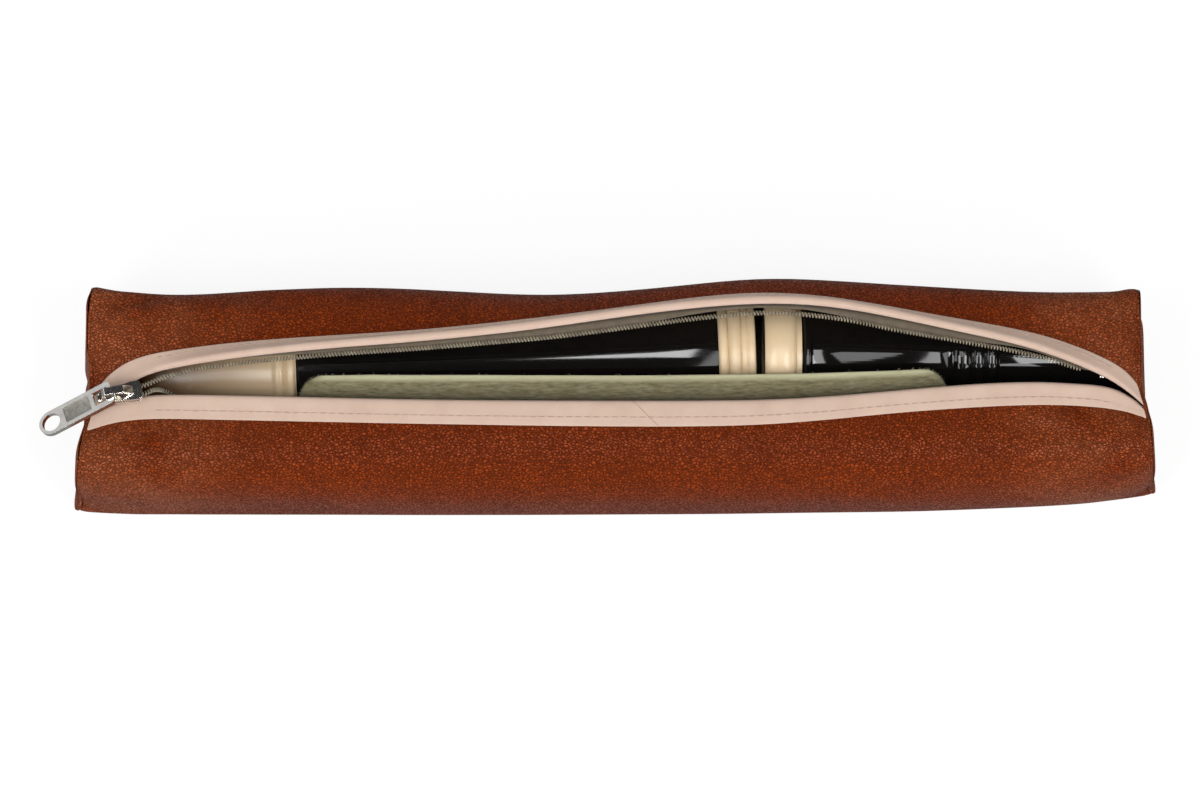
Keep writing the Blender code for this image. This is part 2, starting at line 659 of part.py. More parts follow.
def slider_body(mat):
    """Two plates joined by a post, with flanges that keep the two coils in."""
    left, right = -SLIDER_LENGTH / 2, SLIDER_LENGTH / 2
    wide, narrow = SLIDER_WIDE / 2, SLIDER_NARROW / 2
    height = SLIDER_CHANNEL / 2 + SLIDER_PLATE
    outline = [(left, -narrow + 0.6), (left + 0.6, -narrow), (0.0, -narrow), (2.2, -wide),
               (right - 1.0, -wide), (right - 0.3, -wide + 0.5), (right, -POST_WIDTH / 2),
               (right, POST_WIDTH / 2), (right - 0.3, wide - 0.5), (right - 1.0, wide),
               (2.2, wide), (0.0, narrow), (left + 0.6, narrow), (left, narrow - 0.6)]
    obj = add_object("slider_body", outline_mesh("slider_body", outline, -height, height), mat)
    yaw_place(obj)
    inside_wide, inside_narrow = wide - SLIDER_FLANGE, narrow - SLIDER_FLANGE
    post_left = right - POST_LENGTH
    half_post = POST_WIDTH / 2
    for turn, label in ((1, "rear"), (-1, "front")):
        channel = [(left - 1, -0.01 * turn), (post_left, -0.01 * turn), (post_left + 1.0, half_post * turn),
                   (right + 1, half_post * turn), (right + 1, inside_wide * turn),
                   (2.4, inside_wide * turn), (0.2, inside_narrow * turn),
                   (left - 1, inside_narrow * turn)]
        mesh = outline_mesh("channel_" + label, channel[::turn], -SLIDER_CHANNEL / 2,
                            SLIDER_CHANNEL / 2)
        cut(obj, yaw_place(cutter("channel_" + label, mesh)))
    for turn, label in ((1, "rear"), (-1, "front")):
        y = turn * (inside_narrow * 0.8 + SLIDER_WIDE / 2)
        slot = box_mesh("tape_slot_" + label, (SLIDER_LENGTH + 2, SLIDER_WIDE, SLIDER_SLOT), (0, y, 0))
        cut(obj, yaw_place(cutter("tape_slot_" + label, slot)))
    return obj


def yaw_place(obj):
    obj.location = Vector(SLIDER_PLACE) * MM
    obj.rotation_euler = (0, 0, math.radians(SLIDER_YAW))
    return obj


def tab_pivot():
    """Centre of the tab's end bar, in the crown near the slider's left end."""
    yaw = math.radians(SLIDER_YAW)
    reach = SLIDER_LENGTH / 2 - 1.75
    x = SLIDER_PLACE[0] - reach * math.cos(yaw)
    y = SLIDER_PLACE[1] - reach * math.sin(yaw)
    return Vector((x, y, SLIDER_PLACE[2] + SLIDER_CHANNEL / 2 + SLIDER_PLATE + 2.0))


def slider_crown(mat):
    """The arched strap over the slider's top that holds the pull tab."""
    top = SLIDER_CHANNEL / 2 + SLIDER_PLATE + GAP
    arch = 3.55
    left, right = -SLIDER_LENGTH / 2 - 0.8, SLIDER_LENGTH / 2 - 2.4
    t = CROWN_THICKNESS
    outer = [(left, top), (left, top + arch - 0.6), (left + 0.9, top + arch + t),
             (right - 2.6, top + arch + t), (right, top + 0.7), (right, top)]
    inner = [(right - 1.6, top), (right - 3.2, top + arch), (left + 1.2, top + arch),
             (left + t, top + arch - 0.8), (left + t, top)]
    obj = add_object("slider_crown", outline_mesh("slider_crown", outer + inner,
                                                  -CROWN_WIDTH / 2, CROWN_WIDTH / 2), mat)
    for v in obj.data.vertices:
        x, z, y = v.co
        v.co = (x, -y, z)
    obj.location = Vector(SLIDER_PLACE) * MM
    obj.rotation_euler = (0, 0, math.radians(SLIDER_YAW))
    return obj


def pull_tab(mat):
    """A flat tab with a slot for the crown, a sunk panel and a round hole."""
    w = TAB_WIDTH / 2
    end = -TAB_LENGTH + TAB_BAR / 2
    r = 1.2
    head = TAB_BAR / 2
    outline = (arc_points((head - r, w - r), r, 0, 90, 4)
               + arc_points((end + w, 0), w, 90, 270, 13)
               + arc_points((head - r, -w + r), r, 270, 360, 4))
    s = TAB_SLOT_WIDTH / 2
    slot_right = -TAB_BAR / 2
    slot_left = slot_right - TAB_SLOT_LENGTH
    slot = [(slot_right, -s), (slot_left, -s), (slot_left, s), (slot_right, s)]
    hole = arc_points((end + w, 0), TAB_HOLE_RADIUS, 360, 18, 20)
    mesh = outline_mesh("pull_tab", outline, -TAB_THICKNESS / 2, TAB_THICKNESS / 2, (slot, hole))
    obj = add_object("pull_tab", mesh, mat)
    panel_left, panel_right = end + 2 * w + 0.6, slot_left - 1.3
    panel = box_mesh("tab_recess", (panel_right - panel_left, TAB_WIDTH - 2.4, 2 * TAB_RECESS),
                     ((panel_left + panel_right) / 2, 0, TAB_THICKNESS / 2))
    recess = cutter("tab_recess", panel)
    cut(obj, recess)
    for item in (obj, recess):
        item.location = tab_pivot() * MM
        item.rotation_mode = "YXZ"
        item.rotation_euler = (math.radians(-TAB_ROLL), math.radians(-TAB_DROP),
                               math.radians(TAB_YAW))
    return obj


def stop(name, place, width, mat):
    """A small pressed metal stop at the end of a coil."""
    mesh = box_mesh(name, (STOP_LENGTH, width, COIL_HEIGHT + 0.5), bevel=0.2)
    obj = add_object(name, mesh, mat)
    obj.location = place_point(base_position(place[0]), place[1], place[2])
    obj.rotation_euler = (0, 0, math.radians(SLIDER_YAW) if place[0] < 0 else 0)
    return obj


def rear_row(x, radius):
    """Y of the axis of a recorder joint whose widest ring, at x, lies against the rear wall."""
    return rear_wall(x) - LEATHER - GAP - radius


def felt_route():
    """The divider's section, from the bottom up and leaning back over the recorder."""
    ring_x = FOOT_LEFT_X + FOOT_RING_LENGTH / 2
    ring_front = rear_row(ring_x, FOOT_RING_RADIUS) - FOOT_RING_RADIUS
    line = ring_front - FELT_CLEAR - FELT_THICKNESS / 2
    return smooth_through([(line + beyond, share * CASE_HEIGHT) for beyond, share in FELT_ROUTE],
                          FELT_ROWS)


def felt_divider(mat):
    route = felt_route()
    lengths = [0.0]
    for a, b in zip(route, route[1:]):
        lengths.append(lengths[-1] + math.dist(a, b))
    bm = bmesh.new()
    rows = []
    ends = spread(0.0, FELT_CORNER, 6)
    quarter = (FELT_RIGHT - FELT_LEFT) / 4
    xs = ([FELT_LEFT + d for d in ends] + spread(FELT_LEFT + quarter, FELT_RIGHT - quarter, 4)
          + [FELT_RIGHT - d for d in reversed(ends)])
    for x in xs:
        d = min(x - FELT_LEFT, FELT_RIGHT - x, FELT_CORNER)
        shift = FELT_END_SHIFT * ease(1 - (FELT_RIGHT - x) / (FELT_END_SHARE * (FELT_RIGHT - FELT_LEFT)))
        drop = FELT_CORNER - math.sqrt(FELT_CORNER**2 - (FELT_CORNER - d) ** 2)
        reach = lengths[-1] - drop
        row = [walk(route, lengths, reach * k / (FELT_ROWS - 1)) for k in range(FELT_ROWS)]
        rows.append([bm.verts.new(Vector((x, y + shift, z)) * MM) for y, z in row])
    for a, b in zip(rows, rows[1:]):
        for k in range(len(a) - 1):
            bm.faces.new((a[k], b[k], b[k + 1], a[k + 1]))
    mesh = bpy.data.meshes.new("felt_divider")
    bm.to_mesh(mesh)
    bm.free()
    obj = add_object("felt_divider", mesh, mat)
    shell = obj.modifiers.new("felt", "SOLIDIFY")
    shell.thickness = FELT_THICKNESS * MM
    shell.offset = 0
    return obj


def turned(name, profile, mat, parent, closed=True):
    """A turned piece: the profile is (radius, distance along the axis), outer side first."""
    mesh = bpy.data.meshes.new(name)
    verts = [(r * MM, 0, h * MM) for r, h in profile]
    edges = [(k, k + 1) for k in range(len(verts) - 1)]
    if closed:
        edges.append((len(verts) - 1, 0))
    mesh.from_pydata(verts, edges, [])
    obj = bpy.data.objects.new(name, mesh)
    target = parts if mat else cutters
    target.objects.link(obj)
    obj.parent = parent
    screw = obj.modifiers.new("turn", "SCREW")
    screw.steps = SEGMENTS
    screw.render_steps = SEGMENTS
    screw.use_merge_vertices = True
    screw.merge_threshold = 0.00001
    screw.use_smooth_shade = True
    if mat:
        mesh.materials.append(mat)
    else:
        obj.hide_render = True
        obj.display_type = "WIRE"
    return obj


def bead(radius, swell, start, end, count=5):
    """Profile points over one turned bead, from its far end to its near end."""
    points = []
    for k in range(count):
        t = k / (count - 1)
        points.append((radius + swell * math.sin(math.pi * t) ** 0.6, end + (start - end) * t))
    return points


def axis_empty(name, place, roll, yaw):
    """An empty on a joint's axis: its Z runs along the recorder, its -X is the piece's front."""
    empty = bpy.data.objects.new(name, None)
    guides.objects.link(empty)
    empty.location = Vector(place) * MM
    empty.rotation_mode = "YXZ"
    empty.rotation_euler = (math.radians(roll), math.radians(90), math.radians(yaw))
    return empty


def box_on(parent, name, size, centre):
    """A box cutter in the frame of a recorder joint, whose front is -X."""
    return cutter(name, box_mesh(name, size, centre), parent)


def finger_hole(parent, name, radius, place, front=True, shift=0.0):
    """A round cutter through one wall of a joint."""
    bm = bmesh.new()
    bmesh.ops.create_cone(bm, cap_ends=True, segments=15, radius1=radius * MM,
                          radius2=radius * MM, depth=14 * MM)
    mesh = bpy.data.meshes.new(name)
    bm.to_mesh(mesh)
    bm.free()
    obj = cutter(name, mesh, parent)
    obj.rotation_euler = (0, math.radians(90), 0)
    obj.location = Vector((-11.0 if front else 11.0, shift, place)) * MM
    return obj


def head_joint(place, ivory, black):
    origin = axis_empty("head_axis", place, HEAD_ROLL, HEAD_YAW)
    tip = -HEAD_LENGTH
    end = tip + BEAK_LENGTH
    cap_hole = SPIGOT_RADIUS + GAP
    b = BEAK_RADIUS
    outer = [(b + 0.4, end)] + bead(b + 0.4, 0.9, end - 3.0, end - 0.2) \
        + bead(b + 0.2, 0.8, end - 6.6, end - 3.4) \
        + [(b, end - 7.2), (b, end - 20), (b - 0.6, tip + 14), (b - 1.8, tip + 5),
           (b - 3.2, tip + 1), (b - 4.6, tip)]
    inner = [(HEAD_BORE - 2.0, tip), (HEAD_BORE - 2.0, tip + BLOCK_START - GAP),
             (HEAD_BORE, tip + BLOCK_START - GAP), (HEAD_BORE, tip + SPIGOT_START - GAP),
             (cap_hole, tip + SPIGOT_START - GAP), (cap_hole, end)]
    cap = turned("beak_cap", outer + inner, ivory, origin)
    drum, half = UNDERCUT_RADIUS, 2 * BEAK_RADIUS
    lip_cut = turned("beak_undercut", [(drum, half), (drum, -half), (0.0, -half), (0.0, half)],
                     None, origin, closed=False)
    lip_cut.data.transform(undercut_matrix())
    cut(cap, lip_cut)
    body = HEAD_BODY_RADIUS
    seat = HEAD_SOCKET_RADIUS + WALL_AT_SOCKET
    ring_start = -HEAD_RING_LENGTH
    tube_profile = [(seat - 0.3, -1.0), (seat, -1.4), (seat, ring_start - GAP),
                    (body + HEAD_SWELL, ring_start - GAP), (body + HEAD_SWELL, ring_start - 3),
                    (body + HEAD_SWELL * 0.75, 0.17 * tip), (body + HEAD_SWELL * 0.3, 0.365 * tip),
                    (body, 0.607 * tip), (body, end + 0.6), (body - 0.4, end + GAP),
                    (SPIGOT_RADIUS, end + GAP), (SPIGOT_RADIUS, tip + SPIGOT_START),
                    (HEAD_BORE, tip + SPIGOT_START), (HEAD_BORE, -1.0 - HEAD_SOCKET_DEPTH),
                    (HEAD_SOCKET_RADIUS, -1.0 - HEAD_SOCKET_DEPTH), (HEAD_SOCKET_RADIUS, -1.0)]
    tube = turned("head_tube", tube_profile, black, origin)
    window_start = tip + BLOCK_END + GAP
    window = box_on(origin, "window", (8.0, WINDOW_WIDTH, WINDOW_LENGTH),
                    (-HEAD_BORE - 2.0, 0, window_start + WINDOW_LENGTH / 2))
    cut(tube, window)
    ramp_end = window_start + WINDOW_LENGTH + RAMP_LENGTH
    edge = -HEAD_BORE - 0.6
    ramp = outline_mesh("ramp", [(edge, window_start + WINDOW_LENGTH - 0.05),
                                 (-body - 4.0, window_start + WINDOW_LENGTH - 0.05),
                                 (-body - 4.0, ramp_end), (-body, ramp_end)],
                        -WINDOW_WIDTH / 2, WINDOW_WIDTH / 2)
    for v in ramp.vertices:
        x, z, y = v.co
        v.co = (x, -y, z)
    cut(tube, cutter("ramp", ramp, origin))
    block_r = HEAD_BORE - GAP
    block = turned("windway_block", [(0, tip + BLOCK_END), (block_r, tip + BLOCK_END),
                                     (block_r, tip + BLOCK_START), (0, tip + BLOCK_START)],
                   ivory, origin, closed=False)
    flat = box_on(origin, "windway_floor", (6.0, 2 * HEAD_BORE, HEAD_LENGTH),
                  (-(HEAD_BORE - WINDWAY) - 3.0, 0, tip + BLOCK_START + 20))
    cut(block, flat)
    r = HEAD_RING_RADIUS
    hole = seat + GAP
    ring_profile = [(r - 1.6, 0.0)] + bead(r - 1.0, 0.4, -2.2, -0.2, 4) + bead(r - 1.0, 0.3, -4.0, -2.4, 4) \
        + bead(r - 1.2, 1.2, -7.7, -4.2) + bead(r - 1.7, 0.7, -HEAD_RING_LENGTH + 0.2, -7.9, 4) \
        + [(hole, -HEAD_RING_LENGTH), (hole, 0.0)]
    ring = turned("head_ring", ring_profile, ivory, origin)
    return cap, tube, block, ring


def undercut_matrix():
    """Places the cutting drum under the beak, across the recorder's axis."""
    centre = Vector((UNDERCUT_RADIUS - 1.0, 0, -HEAD_LENGTH - 22.0)) * MM
    return Matrix.Translation(centre) @ Matrix.Rotation(math.radians(90), 4, "X")


def middle_joint(place, black):
    origin = axis_empty("middle_axis", place, 0, 0)
    length = MIDDLE_LENGTH
    shoulder_top = length - TOP_TENON_LENGTH
    body = MIDDLE_RADIUS
    foot_end = body - MIDDLE_TAPER
    profile = [(TOP_TENON_RADIUS - 0.3, length), (TOP_TENON_RADIUS, length - 0.4),
               (TOP_TENON_RADIUS, shoulder_top), (body - 0.3, shoulder_top),
               (body, shoulder_top - 0.6), (body, shoulder_top - 50), (foot_end, FOOT_TENON_LENGTH + 0.6),
               (foot_end - 0.3, FOOT_TENON_LENGTH), (FOOT_TENON_RADIUS, FOOT_TENON_LENGTH),
               (FOOT_TENON_RADIUS, 0.4), (FOOT_TENON_RADIUS - 0.3, 0.0), (MIDDLE_BORE_FOOT, 0.0),
               (MIDDLE_BORE_TOP, length)]
    tube = turned("middle_tube", profile, black, origin)
    for k, (radius, share) in enumerate(FINGER_HOLES):
        cut(tube, finger_hole(origin, f"finger_hole_{k + 1}", radius, shoulder_top - share * length))
    for turn in (-1, 1):
        name = "double_hole_" + ("a" if turn < 0 else "b")
        place_along = shoulder_top - DOUBLE_HOLE_SHARE * length
        cut(tube, finger_hole(origin, name, 1.6, place_along, shift=2.8 * turn))
    cut(tube, finger_hole(origin, "thumb_hole", 3.0, shoulder_top - THUMB_HOLE_SHARE * length,
                          front=False))
    return tube


def foot_joint(place, ivory, black):
    origin = axis_empty("foot_axis", place, FOOT_ROLL, 0)
    length = FOOT_LENGTH
    socket = FOOT_TENON_RADIUS + GAP
    seat = socket + 2.3
    body = FOOT_BODY_RADIUS
    thin = body - FOOT_TAPER
    ring_end = FOOT_RING_LENGTH
    beads = BEADS_SHARE * length
    profile = [(body - 0.9, length), (body - 0.3, length - 0.5), (body, length - 2.5),
               (thin + 0.4, length - 7), (thin, length - 14)] \
        + [(thin, beads + 13.2)] + bead(thin + 0.2, 1.0, beads + 9.2, beads + 12.8, 4) \
        + bead(thin + 0.2, 0.7, beads + 5.6, beads + 8.8, 4) + bead(thin + 0.2, 1.1, beads, beads + 5.2, 4) \
        + [(thin, beads - 0.8), (thin + 0.4 * FOOT_TAPER, beads * 0.7), (body, beads * 0.4),
           (body, ring_end + 3.4)] \
        + bead(body + 0.1, 1.0, ring_end + 0.5, 13.6, 4) \
        + [(seat, ring_end + GAP), (seat, 1.0), (seat - 0.3, 0.6), (socket, 0.6),
           (socket, 0.6 + FOOT_SOCKET_DEPTH), (FOOT_BORE, 0.6 + FOOT_SOCKET_DEPTH),
           (FOOT_BORE + 0.5, length)]
    tube = turned("foot_tube", profile, black, origin)
    for turn in (-1, 1):
        name = "foot_hole_" + ("a" if turn < 0 else "b")
        cut(tube, finger_hole(origin, name, 1.5, FOOT_HOLE_SHARE * length, shift=2.6 * turn))
    r = FOOT_RING_RADIUS
    hole = seat + GAP
    ring_profile = [(r - 2.6, ring_end), (r - 2.4, 9.6), (r - 2.4, 9.1), (r - 1.2, 8.8), (r - 0.3, 7.0),
                    (r, 5.0), (r - 0.1, 3.0), (r - 0.6, 1.0), (r - 1.2, 0.2), (r - 1.6, 0.0),
                    (hole, 0.0), (hole, ring_end)]
    ring = turned("foot_ring", ring_profile, ivory, origin)
    return tube, ring


for old in list(bpy.data.objects):
    bpy.data.objects.remove(old)
parts = bpy.data.collections.new("alto_recorder")
cutters = bpy.data.collections.new("cutters")
guides = bpy.data.collections.new("axes")
for group in (parts, cutters, guides):
    bpy.context.scene.collection.children.link(group)

leather = material("tan_leathercloth", (0.30, 0.075, 0.02), 0.45)
leather_end = material("tan_leathercloth_ends", (0.30, 0.075, 0.02), 0.45)
cotton = material("beige_binding", (0.72, 0.54, 0.43), 0.8)
woven = material("olive_grey_tape", (0.2, 0.18, 0.13), 0.8)
nylon = material("grey_coil", (0.24, 0.22, 0.17), 0.45)
thread = material("beige_thread", (0.66, 0.5, 0.38), 0.75)
nickel = material("nickel", (0.62, 0.61, 0.58), 0.22, 1.0)
wool = material("pale_green_felt", (0.34, 0.36, 0.22), 0.95)
ivory_plastic = material("ivory_plastic", (0.72, 0.55, 0.36), 0.25)
black_plastic = material("black_plastic", (0.008, 0.007, 0.007), 0.12)

wrap_panel(leather)
end_panel("end_panel_left", -1, leather_end)
end_panel("end_panel_right", 1, leather_end)
for lip_side in ("front", "rear"):
    binding("binding_" + lip_side, lip_side, cotton)
    tape("zip_tape_" + lip_side, lip_side, woven)
    coil("zip_coil_" + lip_side, lip_side, nylon)
    stitching("stitching_" + lip_side, lip_side, thread)
    end_y, end_z = coil_point(coil_end(), lip_side)
    end_x = coil_end() + GAP + STOP_LENGTH / 2
    stop("top_stop_" + lip_side, (end_x, end_y, end_z), COIL_WIDTH + 0.5, nickel)
start_x = coil_start() - GAP - STOP_LENGTH / 2
stop("bottom_stop", (start_x, slider_line(start_x, 0), SLIDER_PLACE[2]), 2 * COIL_WIDTH + 0.3, nickel)
slider_body(nickel)
slider_crown(nickel)
pull_tab(nickel)
felt_divider(wool)

floor = LEATHER + GAP
foot_y = rear_row(FOOT_LEFT_X + FOOT_RING_LENGTH / 2, FOOT_RING_RADIUS)
head_y = rear_row(HEAD_END_X - HEAD_RING_LENGTH / 2, HEAD_RING_RADIUS)
head_joint((HEAD_END_X, head_y, floor + HEAD_RING_RADIUS), ivory_plastic, black_plastic)
foot_joint((FOOT_LEFT_X, foot_y, floor + FOOT_RING_RADIUS), ivory_plastic, black_plastic)
middle_span = spread(MIDDLE_LEFT_X, MIDDLE_LEFT_X + MIDDLE_LENGTH, 9)
middle_y = max(front_wall(x) for x in middle_span) + LEATHER + GAP + MIDDLE_RADIUS
middle_joint((MIDDLE_LEFT_X, middle_y, floor + MIDDLE_RADIUS), black_plastic)
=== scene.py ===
# %% [markdown]
# # An alto recorder in its zip case
#
# The object is a plastic alto recorder, taken apart, lying in a soft case of brown leathercloth
# whose mouth is pulled open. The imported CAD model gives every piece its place, so this lesson
# dresses that model: it makes cloth, thread, nylon, nickel, felt and plastic look like themselves.
# Lengths are written in millimetres and turned into metres by MM.

# %% Load the frame
import json
import math
import random
from bisect import bisect_right

import bmesh
import bpy
from mathutils import Euler, Matrix, Vector, noise
from mathutils.bvhtree import BVHTree


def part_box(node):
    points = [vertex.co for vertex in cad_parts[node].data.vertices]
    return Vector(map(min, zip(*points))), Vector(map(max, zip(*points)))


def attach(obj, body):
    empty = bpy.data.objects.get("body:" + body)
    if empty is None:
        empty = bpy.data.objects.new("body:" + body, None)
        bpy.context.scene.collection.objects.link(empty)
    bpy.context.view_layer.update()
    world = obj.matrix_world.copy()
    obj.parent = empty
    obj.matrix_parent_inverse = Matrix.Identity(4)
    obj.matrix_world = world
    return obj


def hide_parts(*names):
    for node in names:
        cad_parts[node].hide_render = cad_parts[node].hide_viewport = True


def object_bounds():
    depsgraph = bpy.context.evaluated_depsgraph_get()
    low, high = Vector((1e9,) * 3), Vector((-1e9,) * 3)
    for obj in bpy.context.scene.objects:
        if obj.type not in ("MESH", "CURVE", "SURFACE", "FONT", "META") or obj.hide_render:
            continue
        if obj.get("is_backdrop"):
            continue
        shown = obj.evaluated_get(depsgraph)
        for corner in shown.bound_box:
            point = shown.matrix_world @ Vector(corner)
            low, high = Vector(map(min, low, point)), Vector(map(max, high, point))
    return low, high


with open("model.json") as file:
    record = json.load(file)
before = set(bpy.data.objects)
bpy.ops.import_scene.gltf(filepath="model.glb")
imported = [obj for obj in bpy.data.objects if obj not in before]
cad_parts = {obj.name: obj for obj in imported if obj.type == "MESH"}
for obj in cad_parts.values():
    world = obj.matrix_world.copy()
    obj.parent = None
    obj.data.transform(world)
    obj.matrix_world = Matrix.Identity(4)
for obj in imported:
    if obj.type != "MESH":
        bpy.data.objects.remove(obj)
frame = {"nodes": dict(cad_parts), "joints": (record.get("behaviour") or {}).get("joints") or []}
cad_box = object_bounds()
nodes = frame["nodes"]
joints = {joint["name"]: joint for joint in frame["joints"]}
MM = 0.001
print("CAD nodes:", len(nodes), "joints:", sorted(joints))

# %% [markdown]
# ## Camera
#
# The photograph was taken from high above the front, with a long lens, so the two ends of the case
# are almost the same size. The camera stands 1.3 m away, 78 degrees above the table.

# %% Camera
LOOK_AT = Vector((-4.5, -0.45, 20.0)) * MM
ELEVATION = math.radians(78.0)
CAMERA_DISTANCE = 1.3
FOCAL_PIXELS = 4498
PHOTO_WIDTH = 1200
SENSOR = 36.0


def put_in_scene(name, data):
    """A new object in the scene."""
    obj = bpy.data.objects.new(name, data)
    bpy.context.scene.collection.objects.link(obj)
    return obj


camera_data = bpy.data.cameras.new("camera")
camera_data.sensor_width = SENSOR
camera_data.lens = FOCAL_PIXELS / PHOTO_WIDTH * SENSOR
camera = put_in_scene("camera", camera_data)
towards_camera = Vector((0, -math.cos(ELEVATION), math.sin(ELEVATION)))
camera.location = LOOK_AT + CAMERA_DISTANCE * towards_camera
camera.rotation_euler = (math.pi / 2 - ELEVATION, 0, 0)
bpy.context.scene.camera = camera
bpy.context.scene.view_settings.view_transform = "Standard"
print("lens", round(camera_data.lens, 1), "mm")

# %% [markdown]
# ## Light
#
# A glossy tube mirrors whatever hangs over it. Two wedges of lamps, over the middle and the right, are
# there for their mirror images, the pointed highlights on the black tubes, and a slim one glints on
# the beak. Four more stand beyond the ends, where their mirror images miss the tubes but put a haze
# on the shoulders of the case. Two wide ones low in front fill in and leave the narrow end of the
# mouth dark, and two at the sides light the ends. The last is mirrored in the flat of the zip's tab.


# %% Lamps and world
def lamp(name, place, aim, size, power):
    """A soft lamp at a place in metres, turned towards another. Its second size runs front to back."""
    data = bpy.data.lights.new(name, "AREA")
    data.shape = "RECTANGLE"
    data.size, data.size_y = size
    data.energy = power
    away = (Vector(place) - Vector(aim)).normalized()
    across = Vector((0, 1, 0)).cross(away).normalized()
    turn = Matrix((across, away.cross(across), away)).transposed()
    put_in_scene(name, data).matrix_world = Matrix.Translation(place) @ turn.to_4x4()


STRIPS = 8


def wedge_lamp(name, tip, wide, height, brightness):
    """Strips side by side over X, from a tip (X, Y) to the wide end (X, lowest Y, highest Y)."""
    width = (wide[0] - tip[0]) / STRIPS
    for k in range(STRIPS):
        share = (k + 0.5) / STRIPS
        low, high = (tip[1] + (edge - tip[1]) * share for edge in wide[1:])
        x, y = tip[0] + width * (k + 0.5), (low + high) / 2
        size = (abs(width), high - low)
        lamp(f"{name}_{k}", (x, y, height), (x, y, 0), size, brightness * math.pi * size[0] * size[1])


wedge_lamp("head_lamp", (-0.047, -0.06), (0.03, -0.26, 0.14), 1.1, 11.0)
wedge_lamp("foot_lamp", (0.205, -0.06), (0.06, -0.9, 0.03), 1.0, 3.2)
lamp("slim_lamp", (-0.181, -0.12, 1.1), (-0.1, 0, 0), (0.012, 0.3), 0.35)
lamp("inner_left_haze", (-0.3, -0.2, 0.95), (-0.12, 0, 0), (0.14, 0.6), 1.4)
lamp("inner_right_haze", (0.335, -0.2, 0.95), (0.12, 0, 0), (0.13, 0.6), 1.4)
lamp("outer_left_haze", (-0.56, -0.36, 1.0), (-0.14, 0, 0), (0.3, 0.4), 2.6)
lamp("outer_right_haze", (0.5, -0.36, 1.0), (0.13, 0, 0), (0.25, 0.4), 2.6)
lamp("left_side", (-1.0, -0.1, 0.4), (-0.155, 0, 0.02), (0.5, 0.5), 1.6)
lamp("right_side", (1.0, -0.1, 0.4), (0.155, 0, 0.02), (0.5, 0.5), 1.6)
lamp("tab_lamp", (-0.92, 0.76, 0.56), (-0.15, 0, 0.04), (0.5, 0.5), 0.45)
lamp("front_left_fill", (-0.6, -0.7, 0.6), (-0.05, 0, 0), (0.5, 0.5), 3.6)
lamp("front_right_fill", (0.6, -0.7, 0.6), (0.05, 0, 0), (0.5, 0.5), 3.6)

world = bpy.data.worlds.new("studio")
world.use_nodes = True
bpy.context.scene.world = world


# %% [markdown]
# ## Node helpers
#
# A material is a tree of nodes. Short helpers keep the trees readable: they add a node and link or
# fill its inputs, do sums, mix two numbers or colours, and start or place a node group, a little tree
# with named sockets that several materials share.


# %% Node helpers
def add(tree, kind, inputs=None, **settings):
    """A new node. An input that is a socket is linked, and any other is set."""
    item = tree.nodes.new(kind)
    for key, value in settings.items():
        setattr(item, key, value)
    for key, value in (inputs or {}).items():
        if isinstance(value, bpy.types.NodeSocket):
            tree.links.new(value, item.inputs[key])
        else:
            item.inputs[key].default_value = value
    return item


def feed(tree, item, **sockets):
    """Links sockets to a node's inputs. An underscore in a name stands for a space."""
    for key, socket in sockets.items():
        tree.links.new(socket, item.inputs[key.replace("_", " ")])


def calc(tree, operation, *values, **settings):
    """The outcome of a Math node."""
    return add(tree, "ShaderNodeMath", dict(enumerate(values)), operation=operation, **settings).outputs[0]


def where(tree, low, high, value):
    """0 below low, 1 above high, and a smooth change between."""
    return add(tree, "ShaderNodeMapRange", {"Value": value, "From Min": low, "From Max": high},
               interpolation_type="SMOOTHSTEP").outputs[0]


def level(tree, value, low, high):
    """A 0 to 1 value spread between low and high."""
    return add(tree, "ShaderNodeMapRange", {"Value": value, "To Min": low, "To Max": high}).outputs[0]


def between(tree, share, first, second):
    """A number between two others."""
    return add(tree, "ShaderNodeMix", {0: share, 2: first, 3: second}).outputs[0]


def blended(tree, share, first, second, kind="MIX"):
    """A colour between two others, or with the kind MULTIPLY their product."""
    return add(tree, "ShaderNodeMix", {0: share, 6: first, 7: second}, data_type="RGBA",
               blend_type=kind).outputs[2]


def split(tree, vector):
    """The X, Y and Z of a vector."""
    return add(tree, "ShaderNodeSeparateXYZ", {0: vector}).outputs


def new_group(name, inputs, outputs):
    """A shader node group with its input sockets' defaults. Returns tree, inputs and output node."""
    tree = bpy.data.node_groups.new(name, "ShaderNodeTree")
    for label, (kind, value) in inputs.items():
        socket = tree.interface.new_socket(label, in_out="INPUT", socket_type=kind)
        socket.default_value = value
    for label, kind in outputs.items():
        tree.interface.new_socket(label, in_out="OUTPUT", socket_type=kind)
    start = tree.nodes.new("NodeGroupInput").outputs
    return tree, start, tree.nodes.new("NodeGroupOutput")


def place_group(tree, group, inputs):
    """A node group put into a tree. Returns its outputs."""
    return add(tree, "ShaderNodeGroup", inputs, node_tree=group).outputs


def srgb(red, green, blue):
    """A colour read from the photograph in 0 to 255, as the linear values a shader wants."""
    parts = []
    for value in (red, green, blue):
        v = value / 255
        parts.append(v / 12.92 if v <= 0.04045 else ((v + 0.055) / 1.055) ** 2.4)
    return (*parts, 1.0)


FLOAT, COLOR, VECTOR = "NodeSocketFloat", "NodeSocketColor", "NodeSocketVector"

# %% [markdown]
# ## White surroundings
#
# The photograph has a pure white ground with hardly any shadow. The floor and the world look white to
# the camera, while the lamps light the object. Reflections see a dimmer room with a dark ceiling, or
# the black plastic would mirror it as grey and the leathercloth would look dusty.

# %% White floor and world
WHITE_SHARE = 0.86
FLOOR_SIZE = 6.0
FLOOR_DROP = 0.0003
WORLD_LEVEL = 0.3
MIRROR_LEVEL = 0.3
CEILING_LEVEL = 0.03


